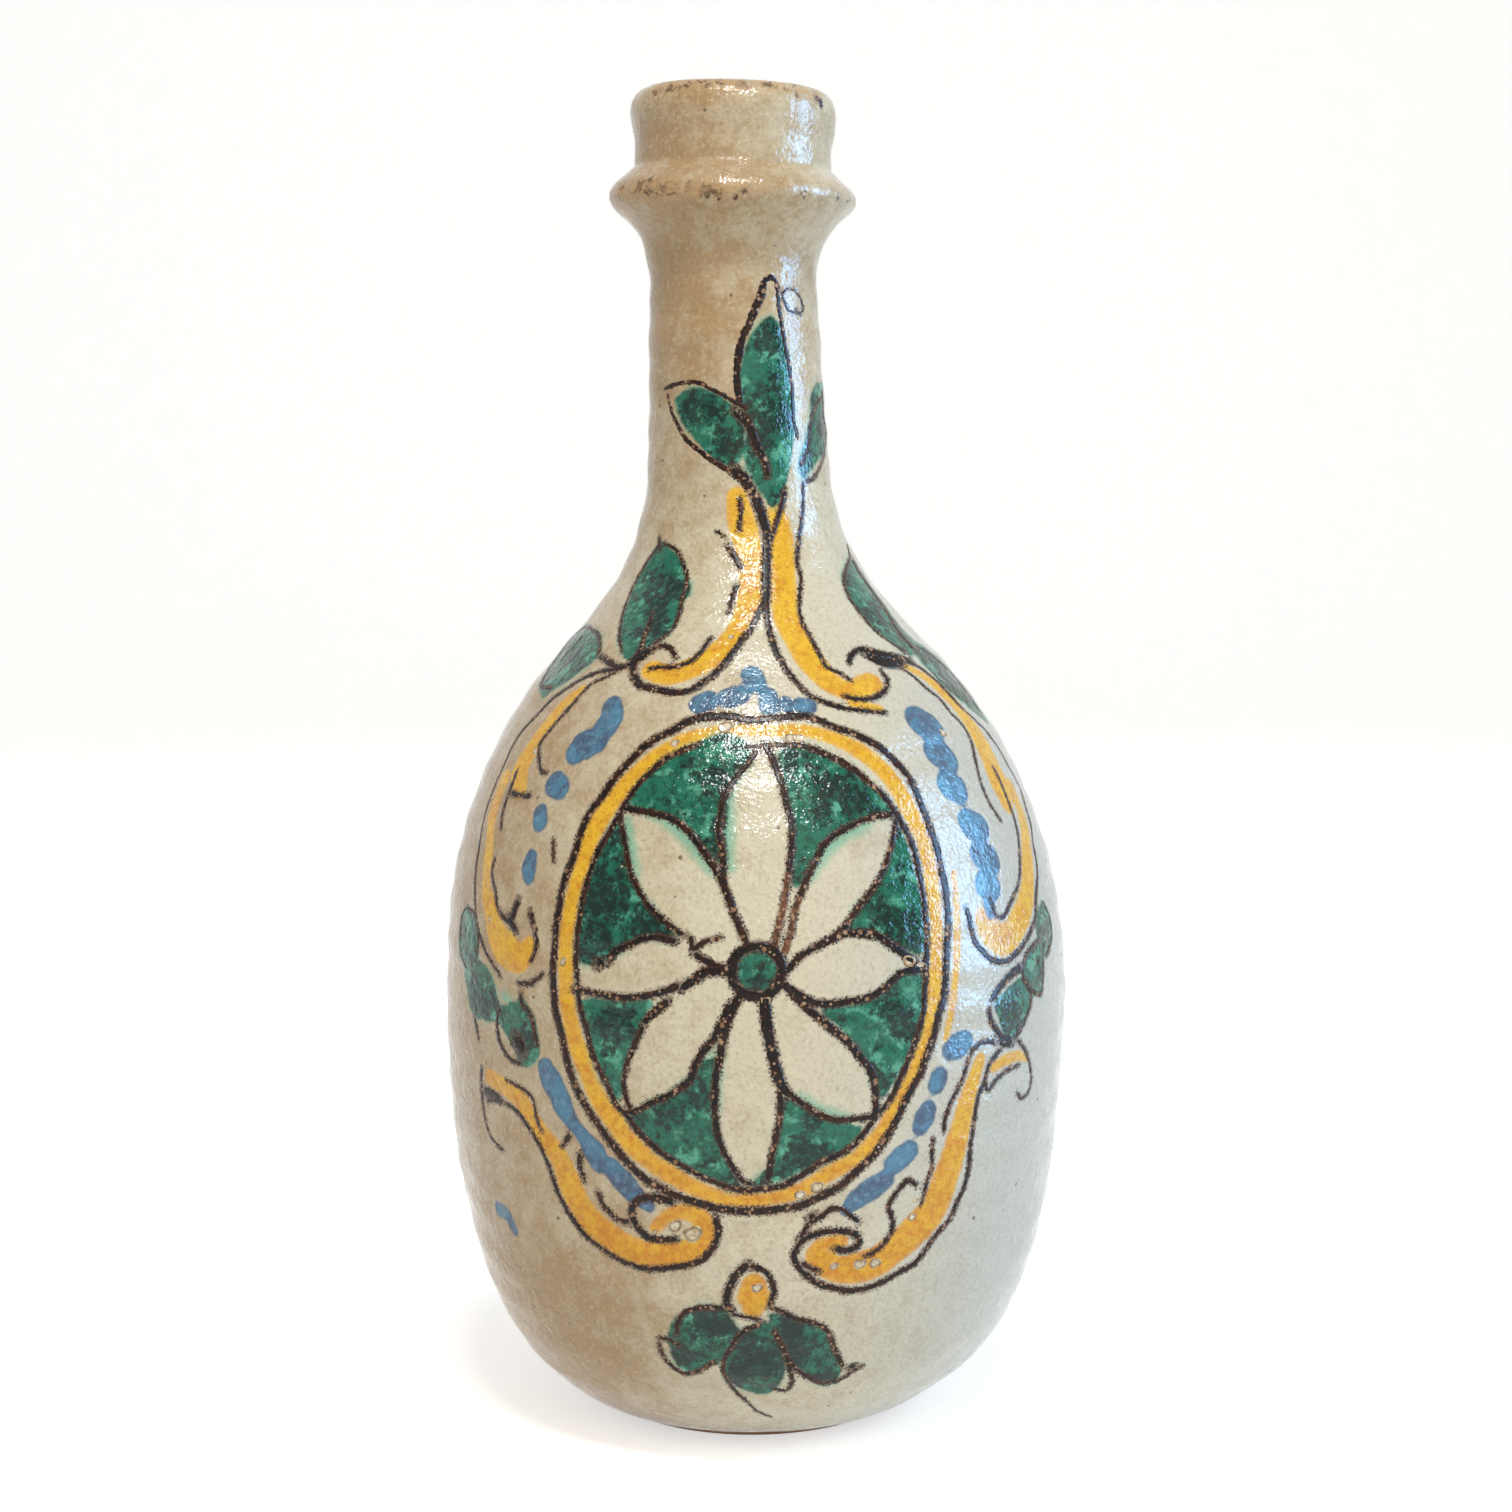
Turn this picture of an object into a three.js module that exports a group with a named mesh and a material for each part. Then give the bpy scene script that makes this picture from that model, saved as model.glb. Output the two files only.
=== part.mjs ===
// Tin-glazed earthenware bottle: a lower body, an upper body, a neck and a mouth thrown apart and luted
// together, a coil ring round the neck, and a coat of glaze inside and outside. Millimetres, +Z up. The
// origin is on the table, under the middle of the belly, and the painted side faces -Y.
import * as THREE from "three";

// The visible outside, from the table up. Each rise is measured from the height before it.
const FOOT_RADIUS = 26;
const STANDING_WIDTH = 7;
const FOOT_HOLLOW_DEPTH = 1.5;
const HEEL_FLARE = 15;
const HEEL_RISE = 8;
const HEEL_ANGLE = 36;
const BELLY_RADIUS = 62.4;
const BELLY_RISE = 80.5;
const SHOULDER_RADIUS = 39.3;
const SHOULDER_RISE = 62.8;
const SHOULDER_ANGLE = 46.7;
const NECK_RADIUS = 16.9;
const NECK_FOOT_FLARE = 2.7;
const NECK_FOOT_RISE = 29.7;
const NECK_FOOT_ANGLE = 76;
const NECK_RISE = 48;
const RING_REACH = 7.7;
const RING_NOSE_RADIUS = 2.75;
const RING_NOSE_ANGLE = 45;
const RING_FOOT_RISE = 11.9;
const RING_SHOULDER_RISE = 3.9;
const MOUTH_STEP = 2.5;
const MOUTH_RISE = 11.6;
const LIP_FLARE = 0.95;
const LIP_ROLL = 3.3;
const LIP_RISE = 3.7;

// How full each curve of the outside is: the reach of its two handles as shares of its rise.
const LOW_BELLY_FULLNESS = [0.18, 0.66];
const HIGH_BELLY_FULLNESS = [0.47, 0.25];
const SHOULDER_FULLNESS = [0.67, 0.33];
const NECK_FULLNESS = [0.21, 0.13];
const CROWN_FULLNESS = [0.5, 0.3];

// Walls, and the inside.
const GLAZE_THICKNESS = 0.6;
const CLAY_WALL = 4.8;
const FLOOR_THICKNESS = 9.5;
const FLOOR_CORNER = 11;
const MOUTH_BORE_FLARE = 1.3;
const LIP_BORE_FLARE = 1.8;
const LIP_BORE_DEPTH = 5;

// Heights of the bare clay band at the foot, and of the glaze that runs over the lip into the mouth.
const BARE_FOOT_HEIGHT = 2.4;
const GLAZE_OVERRUN = 9;

// Luted seams. Each is a half lap: the inner half of the lower section stands up inside the upper one.
const SLIP_GAP = 0.3;
const BODY_SEAM_ABOVE_BELLY = 8;
const BODY_LAP = 6;
const NECK_LAP = 4;
const MOUTH_LAP = 2.4;
const RING_EDGE = 0.8;

// Hand-made faults: the foot and the neck stand off to -X, and the ring and mouth tilt up on that side.
const FOOT_DRIFT = 0.8;
const FOOT_DRIFT_END = 20;
const NECK_LEAN = 4.6;
const LEAN_START = 80;
const LEAN_END = 242;
const MOUTH_TILT = 1.3;
const TILT_START = 222;
const TILT_END = 236;

// Facets round the bottle and along each curve.
const AROUND = 36;
const HEEL_STEPS = 2;
const BELLY_STEPS = 6;
const SHOULDER_STEPS = 5;
const NECK_STEPS = 3;
const CROWN_STEPS = 3;
const RING_SHOULDER_STEPS = 2;

const CLAY_DEPTH = GLAZE_THICKNESS + SLIP_GAP;
const CLOSE_TO_CUT = SLIP_GAP / 4;
const INSIDE_DEPTH = CLAY_WALL + 2 * CLAY_DEPTH;

const radians = THREE.MathUtils.degToRad;
const point = (radius, height) => new THREE.Vector2(radius, height);
const up = point(0, 1);
const inwards = point(-1, 0);
const outwards = point(1, 0);
const leaning = (angle, side) => point(side * Math.cos(radians(angle)), Math.sin(radians(angle)));

const footEdge = point(FOOT_RADIUS, 0);
const heel = point(FOOT_RADIUS + HEEL_FLARE, HEEL_RISE);
const belly = point(BELLY_RADIUS, heel.y + BELLY_RISE);
const shoulder = point(SHOULDER_RADIUS, belly.y + SHOULDER_RISE);
const neckFoot = point(NECK_RADIUS + NECK_FOOT_FLARE, shoulder.y + NECK_FOOT_RISE);
const neckTop = point(NECK_RADIUS, neckFoot.y + NECK_RISE);
const noseHalfRise = RING_NOSE_RADIUS * Math.sin(radians(RING_NOSE_ANGLE));
const noseHeight = neckTop.y + RING_FOOT_RISE + noseHalfRise;
const noseCentre = point(NECK_RADIUS + RING_REACH - RING_NOSE_RADIUS, noseHeight);
const mouthFoot = point(NECK_RADIUS + MOUTH_STEP, noseCentre.y + noseHalfRise + RING_SHOULDER_RISE);
const lip = point(mouthFoot.x + LIP_FLARE, mouthFoot.y + MOUTH_RISE);
const crest = point(lip.x - LIP_ROLL, lip.y + LIP_RISE);

const bodySeam = belly.y + BODY_SEAM_ABOVE_BELLY;
const neckSeam = neckFoot.y;
const mouthSeam = mouthFoot.y - SLIP_GAP;
const glazeMeeting = crest.y - GLAZE_OVERRUN;

// A curve that leaves a and reaches b along two directions, with handles of the given lengths.
function sweep(a, leaving, first, b, arriving, last, steps) {
  const leave = a.clone().addScaledVector(leaving, first);
  const arrive = b.clone().addScaledVector(arriving, -last);
  return new THREE.CubicBezierCurve(a, leave, arrive, b).getPoints(steps);
}

// A curve whose handles are shares of its rise.
function rise(a, leaving, b, arriving, [first, last], steps) {
  const height = b.y - a.y;
  return sweep(a, leaving, first * height, b, arriving, last * height, steps);
}

// Joins stretches end to end, without repeating the point where two of them meet.
function chain(...stretches) {
  const repeated = (p, line) => line.length > 0 && p.distanceTo(line[line.length - 1]) < 1e-6;
  return stretches.flat().reduce((line, p) => (repeated(p, line) ? line : [...line, p]), []);
}

// Outside of the body, from the foot's edge to the top of the neck.
function bodyLine() {
  const reach = HEEL_FLARE / 4;
  return chain(
    sweep(footEdge, outwards, reach, heel, leaning(HEEL_ANGLE, 1), reach, HEEL_STEPS),
    rise(heel, leaning(HEEL_ANGLE, 1), belly, up, LOW_BELLY_FULLNESS, BELLY_STEPS),
    rise(belly, up, shoulder, leaning(SHOULDER_ANGLE, -1), HIGH_BELLY_FULLNESS, BELLY_STEPS),
    rise(
      shoulder,
      leaning(SHOULDER_ANGLE, -1),
      neckFoot,
      leaning(NECK_FOOT_ANGLE, -1),
      SHOULDER_FULLNESS,
      SHOULDER_STEPS,
    ),
    rise(neckFoot, leaning(NECK_FOOT_ANGLE, -1), neckTop, up, NECK_FULLNESS, NECK_STEPS),
  );
}

// Outside of the ring and the mouth, from the top of the neck to the crest of the lip.
function crownLine() {
  const angle = radians(RING_NOSE_ANGLE);
  const arc = new THREE.EllipseCurve(
    noseCentre.x,
    noseCentre.y,
    RING_NOSE_RADIUS,
    RING_NOSE_RADIUS,
    -angle,
    angle,
  );
  const nose = arc.getPoints(CROWN_STEPS);
  const noseEnd = nose[nose.length - 1];
  const backUp = leaning(RING_NOSE_ANGLE, -1);
  return chain(
    rise(neckTop, up, nose[0], leaning(RING_NOSE_ANGLE, 1), CROWN_FULLNESS, CROWN_STEPS),
    nose,
    rise(noseEnd, backUp, mouthFoot, backUp, CROWN_FULLNESS, RING_SHOULDER_STEPS),
    rise(mouthFoot, up, lip, up, CROWN_FULLNESS, NECK_STEPS),
    sweep(lip, up, LIP_RISE / 2, crest, inwards, LIP_ROLL / 2, CROWN_STEPS),
  );
}

// The visible inside, upwards from the middle of the floor to the crest of the lip.
function insideLine() {
  const wall = inset(bodyLine().filter((p) => p.y >= heel.y), INSIDE_DEPTH);
  const corner = point(wall[0].x - FLOOR_CORNER, FLOOR_THICKNESS);
  const neckBore = wall[wall.length - 1];
  const mouthBore = point(neckBore.x + MOUTH_BORE_FLARE, mouthSeam);
  const lipBore = point(mouthBore.x + LIP_BORE_FLARE, crest.y - LIP_BORE_DEPTH);
  const reach = FLOOR_CORNER / 4;
  return chain(
    [point(0, FLOOR_THICKNESS)],
    sweep(corner, outwards, reach, wall[0], leaning(HEEL_ANGLE, 1), reach, HEEL_STEPS),
    wall,
    rise(neckBore, up, mouthBore, up, CROWN_FULLNESS, NECK_STEPS),
    sweep(lipBore, up, LIP_BORE_DEPTH / 2, crest, outwards, (crest.x - lipBore.x) / 2, CROWN_STEPS),
  );
}

// Moves a line to its left by depth, along its own normals.
function inset(line, depth) {
  return line.map((p, i) => {
    const before = line[Math.max(i - 1, 0)];
    const after = line[Math.min(i + 1, line.length - 1)];
    const along = after.clone().sub(before).normalize();
    return point(p.x - depth * along.y, p.y + depth * along.x);
  });
}

// Outer and inner face at a depth below the visible surface, both running up to the lip.
function faces(depth) {
  const outside = chain(bodyLine(), crownLine());
  const surface = inset(chain(outside, insideLine().reverse()), depth);
  return {
    outer: surface.slice(0, outside.length),
    inner: surface.slice(outside.length - 1).reverse(),
  };
}

// Where a rising line crosses a height.
function at(line, height) {
  const i = Math.max(line.findIndex((p) => p.y >= height), 1);
  const share = (height - line[i - 1].y) / (line[i].y - line[i - 1].y);
  return line[i - 1].clone().lerp(line[i], share);
}

// The stretch of a rising line between two heights. A point next to a cut gives way to it.
function between(line, low, high) {
  const kept = line.filter((p) => p.y > low + CLOSE_TO_CUT && p.y < high - CLOSE_TO_CUT);
  return [at(line, low), ...kept, at(line, high)];
}

const below = (line, height) => [...line.filter((p) => p.y < height - CLOSE_TO_CUT), at(line, height)];
const above = (line, height) => [at(line, height), ...line.filter((p) => p.y > height + CLOSE_TO_CUT)];

const glazeFace = faces(0);
const glazeBack = faces(GLAZE_THICKNESS);
const clayFace = faces(CLAY_DEPTH);
const tenonRadius = at(clayFace.outer, neckTop.y).x;

// A half lap at a seam: the radius halfway through the clay, and the two ends that meet on it.
function halfLap(seam, lap, outerRadius) {
  const innerRadius = Math.max(at(clayFace.inner, seam).x, at(clayFace.inner, seam + lap).x);
  const middle = (outerRadius + innerRadius) / 2;
  return {
    below: [point(middle, seam), point(middle, seam + lap)],
    above: [point(middle + SLIP_GAP, seam + lap + SLIP_GAP), point(middle + SLIP_GAP, seam + SLIP_GAP)],
  };
}

// The clay's outer radius where a lap is narrowest.
function clayRadiusOver(seam, lap) {
  return Math.min(at(clayFace.outer, seam).x, at(clayFace.outer, seam + lap).x);
}

const bodyJoint = halfLap(bodySeam, BODY_LAP, clayRadiusOver(bodySeam, BODY_LAP));
const neckJoint = halfLap(neckSeam, NECK_LAP, clayRadiusOver(neckSeam, NECK_LAP));
const mouthJoint = halfLap(mouthSeam, MOUTH_LAP, tenonRadius);

// Foot, floor and lower wall, thrown in one. The clay is bare under the glaze's edge.
function lowerBody() {
  return [
    point(0, FOOT_HOLLOW_DEPTH),
    point(FOOT_RADIUS - STANDING_WIDTH, 0),
    ...below(glazeFace.outer, BARE_FOOT_HEIGHT),
    ...between(clayFace.outer, BARE_FOOT_HEIGHT, bodySeam),
    ...bodyJoint.below,
    ...below(clayFace.inner, bodySeam + BODY_LAP).reverse(),
  ];
}

// Upper wall and shoulder, thrown apart and luted on above the widest line.
function upperBody() {
  return [
    ...between(clayFace.outer, bodySeam + SLIP_GAP, neckSeam),
    ...neckJoint.below,
    ...between(clayFace.inner, bodySeam + BODY_LAP + SLIP_GAP, neckSeam + NECK_LAP).reverse(),
    ...bodyJoint.above,
  ];
}

// Neck, which runs on straight through the ring as a tenon for the mouth.
function neckTube() {
  return [
    ...between(clayFace.outer, neckSeam + SLIP_GAP, neckTop.y),
    point(tenonRadius, mouthSeam),
    ...mouthJoint.below,
    ...between(clayFace.inner, neckSeam + NECK_LAP + SLIP_GAP, mouthSeam + MOUTH_LAP).reverse(),
    ...neckJoint.above,
  ];
}

// Coil ring, luted round the tenon. Its foot thins out against the neck.
function neckRing() {
  const seat = tenonRadius + SLIP_GAP;
  const flank = clayFace.outer.filter((p) => p.y >= neckTop.y);
  const i = flank.findIndex((p) => p.x > seat + RING_EDGE);
  const share = (seat + RING_EDGE - flank[i - 1].x) / (flank[i].x - flank[i - 1].x);
  const start = flank[i - 1].clone().lerp(flank[i], share);
  return [point(seat, start.y), ...between(flank, start.y, mouthSeam), point(seat, mouthSeam)];
}

// Mouth, seated on the neck and the ring, with a rounded lip.
function mouthCollar() {
  return [
    ...above(clayFace.outer, mouthSeam + SLIP_GAP),
    ...above(clayFace.inner, mouthSeam + MOUTH_LAP + SLIP_GAP).reverse().slice(1),
    ...mouthJoint.above,
  ];
}

// Outer glaze, from just above the bare foot, over the lip and a little way down inside the mouth.
function outerGlaze() {
  const edge = BARE_FOOT_HEIGHT + SLIP_GAP;
  return [
    ...above(glazeFace.outer, edge),
    ...above(glazeFace.inner, glazeMeeting).reverse().slice(1),
    ...above(glazeBack.inner, glazeMeeting),
    ...above(glazeBack.outer, edge).reverse().slice(1),
  ];
}

// Inner glaze, poured in and out again: a closed floor, and a wall up to the outer glaze's edge.
function innerGlaze() {
  const edge = glazeMeeting - SLIP_GAP;
  return [...below(glazeBack.inner, edge), ...below(glazeFace.inner, edge).reverse()];
}

// Revolves an outline, given anticlockwise with the radius to the right, then adds the hand-made faults.
function turned(outline) {
  const closed = outline[0].x > 0 ? [...outline, outline[0]] : outline;
  const geometry = new THREE.LatheGeometry(closed, AROUND);
  geometry.rotateX(Math.PI / 2);
  const position = geometry.getAttribute("position");
  for (let i = 0; i < position.count; i++) {
    const x = position.getX(i);
    const height = position.getZ(i);
    const drift = FOOT_DRIFT * (1 - THREE.MathUtils.smoothstep(height, 0, FOOT_DRIFT_END));
    const lean = NECK_LEAN * THREE.MathUtils.smoothstep(height, LEAN_START, LEAN_END);
    const tilt = MOUTH_TILT * THREE.MathUtils.smoothstep(height, TILT_START, TILT_END);
    position.setX(i, x - drift - lean);
    position.setZ(i, height - Math.tan(radians(tilt)) * x);
  }
  geometry.computeVertexNormals();
  return geometry;
}

const clay = new THREE.MeshStandardMaterial({ color: 0xc29372, roughness: 0.9, metalness: 0 });
const tinGlaze = new THREE.MeshStandardMaterial({ color: 0xd3c9b4, roughness: 0.25, metalness: 0 });

const bottle = new THREE.Group();
for (const [name, outline, material] of [
  ["lower_body", lowerBody(), clay],
  ["upper_body", upperBody(), clay],
  ["neck_tube", neckTube(), clay],
  ["neck_ring", neckRing(), clay],
  ["mouth_collar", mouthCollar(), clay],
  ["outer_glaze", outerGlaze(), tinGlaze],
  ["inner_glaze", innerGlaze(), tinGlaze],
]) {
  const mesh = new THREE.Mesh(turned(outline), material.clone());
  mesh.name = name;
  bottle.add(mesh);
}

export default bottle;
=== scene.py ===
"""Dresses a tin-glazed bottle: the thrown clay, two coats of glaze and the painting on the outer one."""
import math

import bmesh
import bpy
import numpy as np
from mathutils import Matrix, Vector
from mathutils.bvhtree import BVHTree
from mathutils.kdtree import KDTree


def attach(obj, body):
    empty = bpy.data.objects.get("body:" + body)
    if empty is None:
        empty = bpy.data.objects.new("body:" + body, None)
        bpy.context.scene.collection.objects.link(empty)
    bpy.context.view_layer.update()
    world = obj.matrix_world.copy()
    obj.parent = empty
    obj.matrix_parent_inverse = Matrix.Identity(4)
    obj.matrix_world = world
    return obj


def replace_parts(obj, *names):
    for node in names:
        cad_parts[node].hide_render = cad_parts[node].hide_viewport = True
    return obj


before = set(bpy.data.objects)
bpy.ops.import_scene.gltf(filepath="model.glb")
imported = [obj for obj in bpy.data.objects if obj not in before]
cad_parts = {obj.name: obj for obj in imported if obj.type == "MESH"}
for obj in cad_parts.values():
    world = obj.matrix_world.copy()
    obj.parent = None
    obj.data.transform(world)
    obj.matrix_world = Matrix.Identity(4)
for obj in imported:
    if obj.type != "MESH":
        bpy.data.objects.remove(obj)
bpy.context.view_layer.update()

bl_info = {
    "name": "Painted tin-glazed bottle",
    "version": (1, 0, 0),
    "blender": (4, 5, 0),
    "location": "3D View > Sidebar > Bottle",
    "description": "Finishes a turned clay bottle with glaze, brush painting and kiln marks",
    "category": "Object",
}

MM = 0.001
BODY = "root"
PHOTO_SIDE = 1512
SENSOR_WIDTH = 36.0


def paint(red, green, blue):
    """A colour read as 0 to 255 a channel, as Blender's linear colour."""
    shares = [channel / 255 for channel in (red, green, blue)]
    return (*[s / 12.92 if s <= 0.04045 else ((s + 0.055) / 1.055) ** 2.4 for s in shares], 1.0)


# Brush lines, drawn over the colours. Each has its name, its width in millimetres where it starts and
# where it ends, how heavily it is loaded (0 thin brown, 1 thick black), and its points in photo pixels.

NECK_LINES = {
    "middle leaf left": (1.9, 1.5, 0.8, [(764, 280), (760, 298), (753, 315), (742, 340), (738, 362),
        (737, 380), (740, 404)]),
    "middle leaf rib": (1.9, 1.5, 0.7, [(738, 413), (749, 424), (757, 446), (765, 462), (768, 476)]),
    "middle leaf foot": (2.3, 2.3, 0.9, [(736, 410), (741, 416)]),
    "middle leaf right": (1.1, 0.9, 0.5, [(763, 282), (771, 277), (777, 285), (779, 307), (784, 338),
        (789, 367), (793, 404), (794, 422), (798, 440)]),
    "left leaf top": (1.0, 0.9, 0.4, [(664, 389), (676, 384), (696, 382), (711, 389), (725, 396),
        (736, 403), (748, 408)]),
    "left leaf bottom": (1.0, 1.2, 0.4, [(667, 393), (671, 409), (677, 424), (687, 440), (700, 451),
        (716, 463), (733, 472)]),
    "stem": (2.2, 1.7, 0.85, [(733, 469), (745, 480), (753, 493), (759, 507), (763, 520), (767, 536),
        (766, 565), (766, 582), (766, 602)]),
    "right branch": (1.0, 1.0, 0.5, [(785, 489), (783, 500), (778, 518), (773, 533), (769, 545)]),
    "right leaf edge": (0.8, 0.8, 0.4, [(824, 391), (827, 409), (828, 440), (816, 475), (805, 482)]),
    "right leaf inside": (0.7, 0.7, 0.4, [(821, 398), (814, 409), (810, 429), (807, 451), (800, 467)]),
    "loop beside the leaf": (0.4, 0.4, 0.3, [(782, 293), (789, 288), (798, 294), (803, 307), (800, 313),
        (789, 311), (784, 300), (782, 293)]),
    "loop end": (0.9, 0.8, 0.3, [(796, 311), (800, 314)]),
    "tick by the stem": (1.0, 0.8, 0.4, [(740, 498), (741, 514), (739, 531)]),
    "small tick": (0.4, 0.4, 0.3, [(716, 531), (725, 537)]),
}

SCROLL_LINES = {
    "left stem outside": (1.3, 1.6, 0.6, [(766, 600), (759, 613), (751, 629), (742, 640), (733, 653),
        (720, 669), (707, 680), (689, 691), (671, 692), (656, 689), (642, 686), (635, 678), (633, 664),
        (638, 655)]),
    "left stem curl": (1.0, 0.8, 0.5, [(711, 638), (700, 653), (689, 662), (676, 667), (660, 667),
        (649, 669)]),
    "left stem hook": (1.0, 0.9, 0.4, [(676, 658), (672, 651), (665, 646), (656, 647), (647, 653)]),
    "left stem upper tick": (1.3, 1.0, 0.6, [(728, 547), (736, 559), (741, 569)]),
    "left stem lower tick": (1.0, 0.9, 0.4, [(737, 585), (732, 600), (729, 614)]),
    "right stem inside": (0.7, 0.8, 0.4, [(803, 482), (803, 498), (802, 518), (798, 547), (797, 562),
        (801, 580), (799, 605), (802, 622), (811, 638), (820, 656), (827, 667), (840, 673), (851, 681)]),
    "right stem outside": (1.2, 0.9, 0.5, [(766, 600), (768, 625), (776, 651), (785, 667), (796, 682),
        (811, 696), (833, 705), (856, 710), (886, 713)]),
    "right stem curl": (1.0, 1.0, 0.5, [(844, 696), (858, 699), (874, 698), (885, 690), (887, 679),
        (881, 671)]),
    "right hook": (1.0, 1.8, 0.95, [(849, 664), (851, 656), (860, 650), (870, 650), (881, 654), (897, 657),
        (912, 662)]),
    "right hook load": (2.2, 3.0, 1.0, [(866, 654), (876, 659), (888, 663), (902, 661)]),
    "right C outside": (0.9, 1.1, 0.5, [(908, 662), (922, 669), (944, 688), (958, 704), (972, 717),
        (986, 731), (999, 749), (1010, 769), (1020, 788), (1026, 808), (1031, 826), (1034, 848),
        (1037, 866), (1037, 884), (1036, 901), (1035, 919), (1029, 935), (1021, 948), (1011, 958),
        (1002, 962), (991, 959), (982, 951), (975, 941), (971, 930), (969, 917), (966, 908)]),
    "right C upper inside": (0.7, 0.7, 0.4, [(899, 667), (913, 676), (926, 688), (940, 699), (951, 713),
        (964, 727), (972, 744), (976, 763), (981, 783), (990, 804), (1001, 821)]),
    "right C lower inside": (0.7, 0.8, 0.4, [(993, 767), (1001, 783), (1009, 803), (1018, 835), (1020, 868),
        (1018, 885), (1011, 901), (1004, 916), (997, 917)]),
    "right C tick": (1.1, 1.0, 0.6, [(989, 896), (996, 916)]),
    "left C outside": (1.1, 0.6, 0.5, [(629, 664), (618, 669), (602, 671), (584, 678), (569, 687),
        (551, 700), (536, 716), (522, 731), (509, 753), (500, 773), (491, 796), (484, 818), (480, 840),
        (477, 860), (475, 880), (475, 901), (477, 923), (481, 939), (486, 953), (494, 966), (501, 977)]),
    "left C upper inside": (0.8, 0.7, 0.4, [(618, 671), (604, 678), (591, 684), (578, 698), (562, 716),
        (549, 731), (540, 744), (539, 758), (541, 771), (547, 773)]),
    "left C middle inside": (0.8, 0.7, 0.4, [(517, 771), (512, 784), (504, 807), (501, 829)]),
    "left C blob": (1.1, 0.9, 0.5, [(511, 793), (520, 795), (530, 796)]),
    "left C lower inside": (0.7, 0.8, 0.4, [(495, 857), (492, 873), (495, 889), (497, 905), (503, 917),
        (510, 924)]),
    "left C load": (1.8, 1.6, 1.0, [(518, 901), (514, 912), (511, 921)]),
    "left C load below": (1.7, 1.5, 1.0, [(508, 918), (516, 931)]),
    "left C right curl": (1.3, 0.8, 0.5, [(530, 912), (532, 919), (535, 932), (536, 944), (534, 955),
        (530, 962)]),
    "left C bottom": (0.9, 0.8, 0.4, [(518, 983), (531, 983), (543, 974)]),
    "left junction": (1.2, 1.3, 0.7, [(600, 656), (609, 662), (618, 667), (631, 664)]),
    "lower right inside": (0.9, 0.9, 0.4, [(995, 1042), (984, 1042), (975, 1047), (969, 1059), (962, 1080),
        (956, 1092), (950, 1105), (945, 1119), (944, 1131)]),
    "lower right inside below": (0.8, 0.7, 0.4, [(933, 1138), (932, 1150), (932, 1165), (927, 1182),
        (921, 1205)]),
    "lower right hook": (0.9, 0.9, 0.5, [(917, 1186), (909, 1180), (902, 1186), (894, 1196), (888, 1207),
        (892, 1217), (892, 1230), (885, 1242), (877, 1250), (866, 1256)]),
    "lower right outside": (0.9, 1.3, 0.55, [(1000, 1050), (990, 1063), (985, 1080), (979, 1094),
        (976, 1109), (973, 1130), (970, 1148), (969, 1165), (965, 1184), (958, 1200), (950, 1219),
        (937, 1234), (927, 1248), (915, 1263), (898, 1273), (883, 1282), (867, 1288), (850, 1291),
        (833, 1288), (819, 1284), (806, 1275), (797, 1265), (794, 1255), (800, 1244), (810, 1236),
        (825, 1232), (842, 1231), (856, 1235), (859, 1243), (850, 1250), (835, 1249)]),
    "lower right loop": (1.0, 0.9, 0.5, [(800, 1238), (810, 1223), (821, 1217), (831, 1209), (842, 1209),
        (850, 1215), (859, 1222)]),
    "lower right load": (1.8, 1.6, 0.8, [(809, 1219), (815, 1215)]),
    "lower right stroke": (1.0, 0.8, 0.4, [(802, 1263), (811, 1268), (820, 1271)]),
    "right tail": (0.8, 0.8, 0.4, [(1017, 1040), (1025, 1050), (1030, 1065), (1031, 1082), (1027, 1094),
        (1021, 1098), (1017, 1093)]),
    "right tail inside": (0.9, 0.8, 0.4, [(985, 1082), (988, 1090), (996, 1080), (1006, 1071),
        (1019, 1065)]),
    "lower left start": (0.9, 0.9, 0.5, [(482, 1068), (481, 1081), (482, 1097), (484, 1112), (488, 1130),
        (495, 1143), (503, 1150)]),
    "lower left load": (2.1, 1.9, 0.8, [(484, 1091), (492, 1094), (500, 1100)]),
    "lower left outside": (0.8, 1.2, 0.55, [(487, 1100), (502, 1102), (515, 1110), (525, 1122), (535, 1137),
        (542, 1150), (548, 1164), (553, 1179), (558, 1193), (567, 1210), (577, 1225), (587, 1237),
        (600, 1247), (615, 1257), (629, 1264), (648, 1269), (667, 1268), (683, 1266), (700, 1261),
        (710, 1252), (717, 1239), (718, 1227), (715, 1217)]),
    "lower left inside": (0.6, 0.6, 0.3, [(506, 1080), (519, 1087), (531, 1096), (535, 1108), (537, 1120),
        (543, 1133)]),
    "lower left first tick": (1.1, 0.9, 0.5, [(569, 1135), (562, 1147)]),
    "lower left second tick": (1.2, 0.9, 0.6, [(580, 1154), (580, 1168), (585, 1181)]),
    "lower left third tick": (1.1, 1.1, 0.5, [(598, 1192), (604, 1206), (615, 1217), (628, 1223)]),
    "lower left curl": (1.5, 1.2, 0.6, [(673, 1202), (658, 1198), (644, 1198), (634, 1204), (632, 1214),
        (637, 1227), (648, 1237), (660, 1240), (677, 1239)]),
    "brush mark by the left dabs": (1.0, 0.7, 0.2, [(553, 840), (554, 863)]),
}

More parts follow.
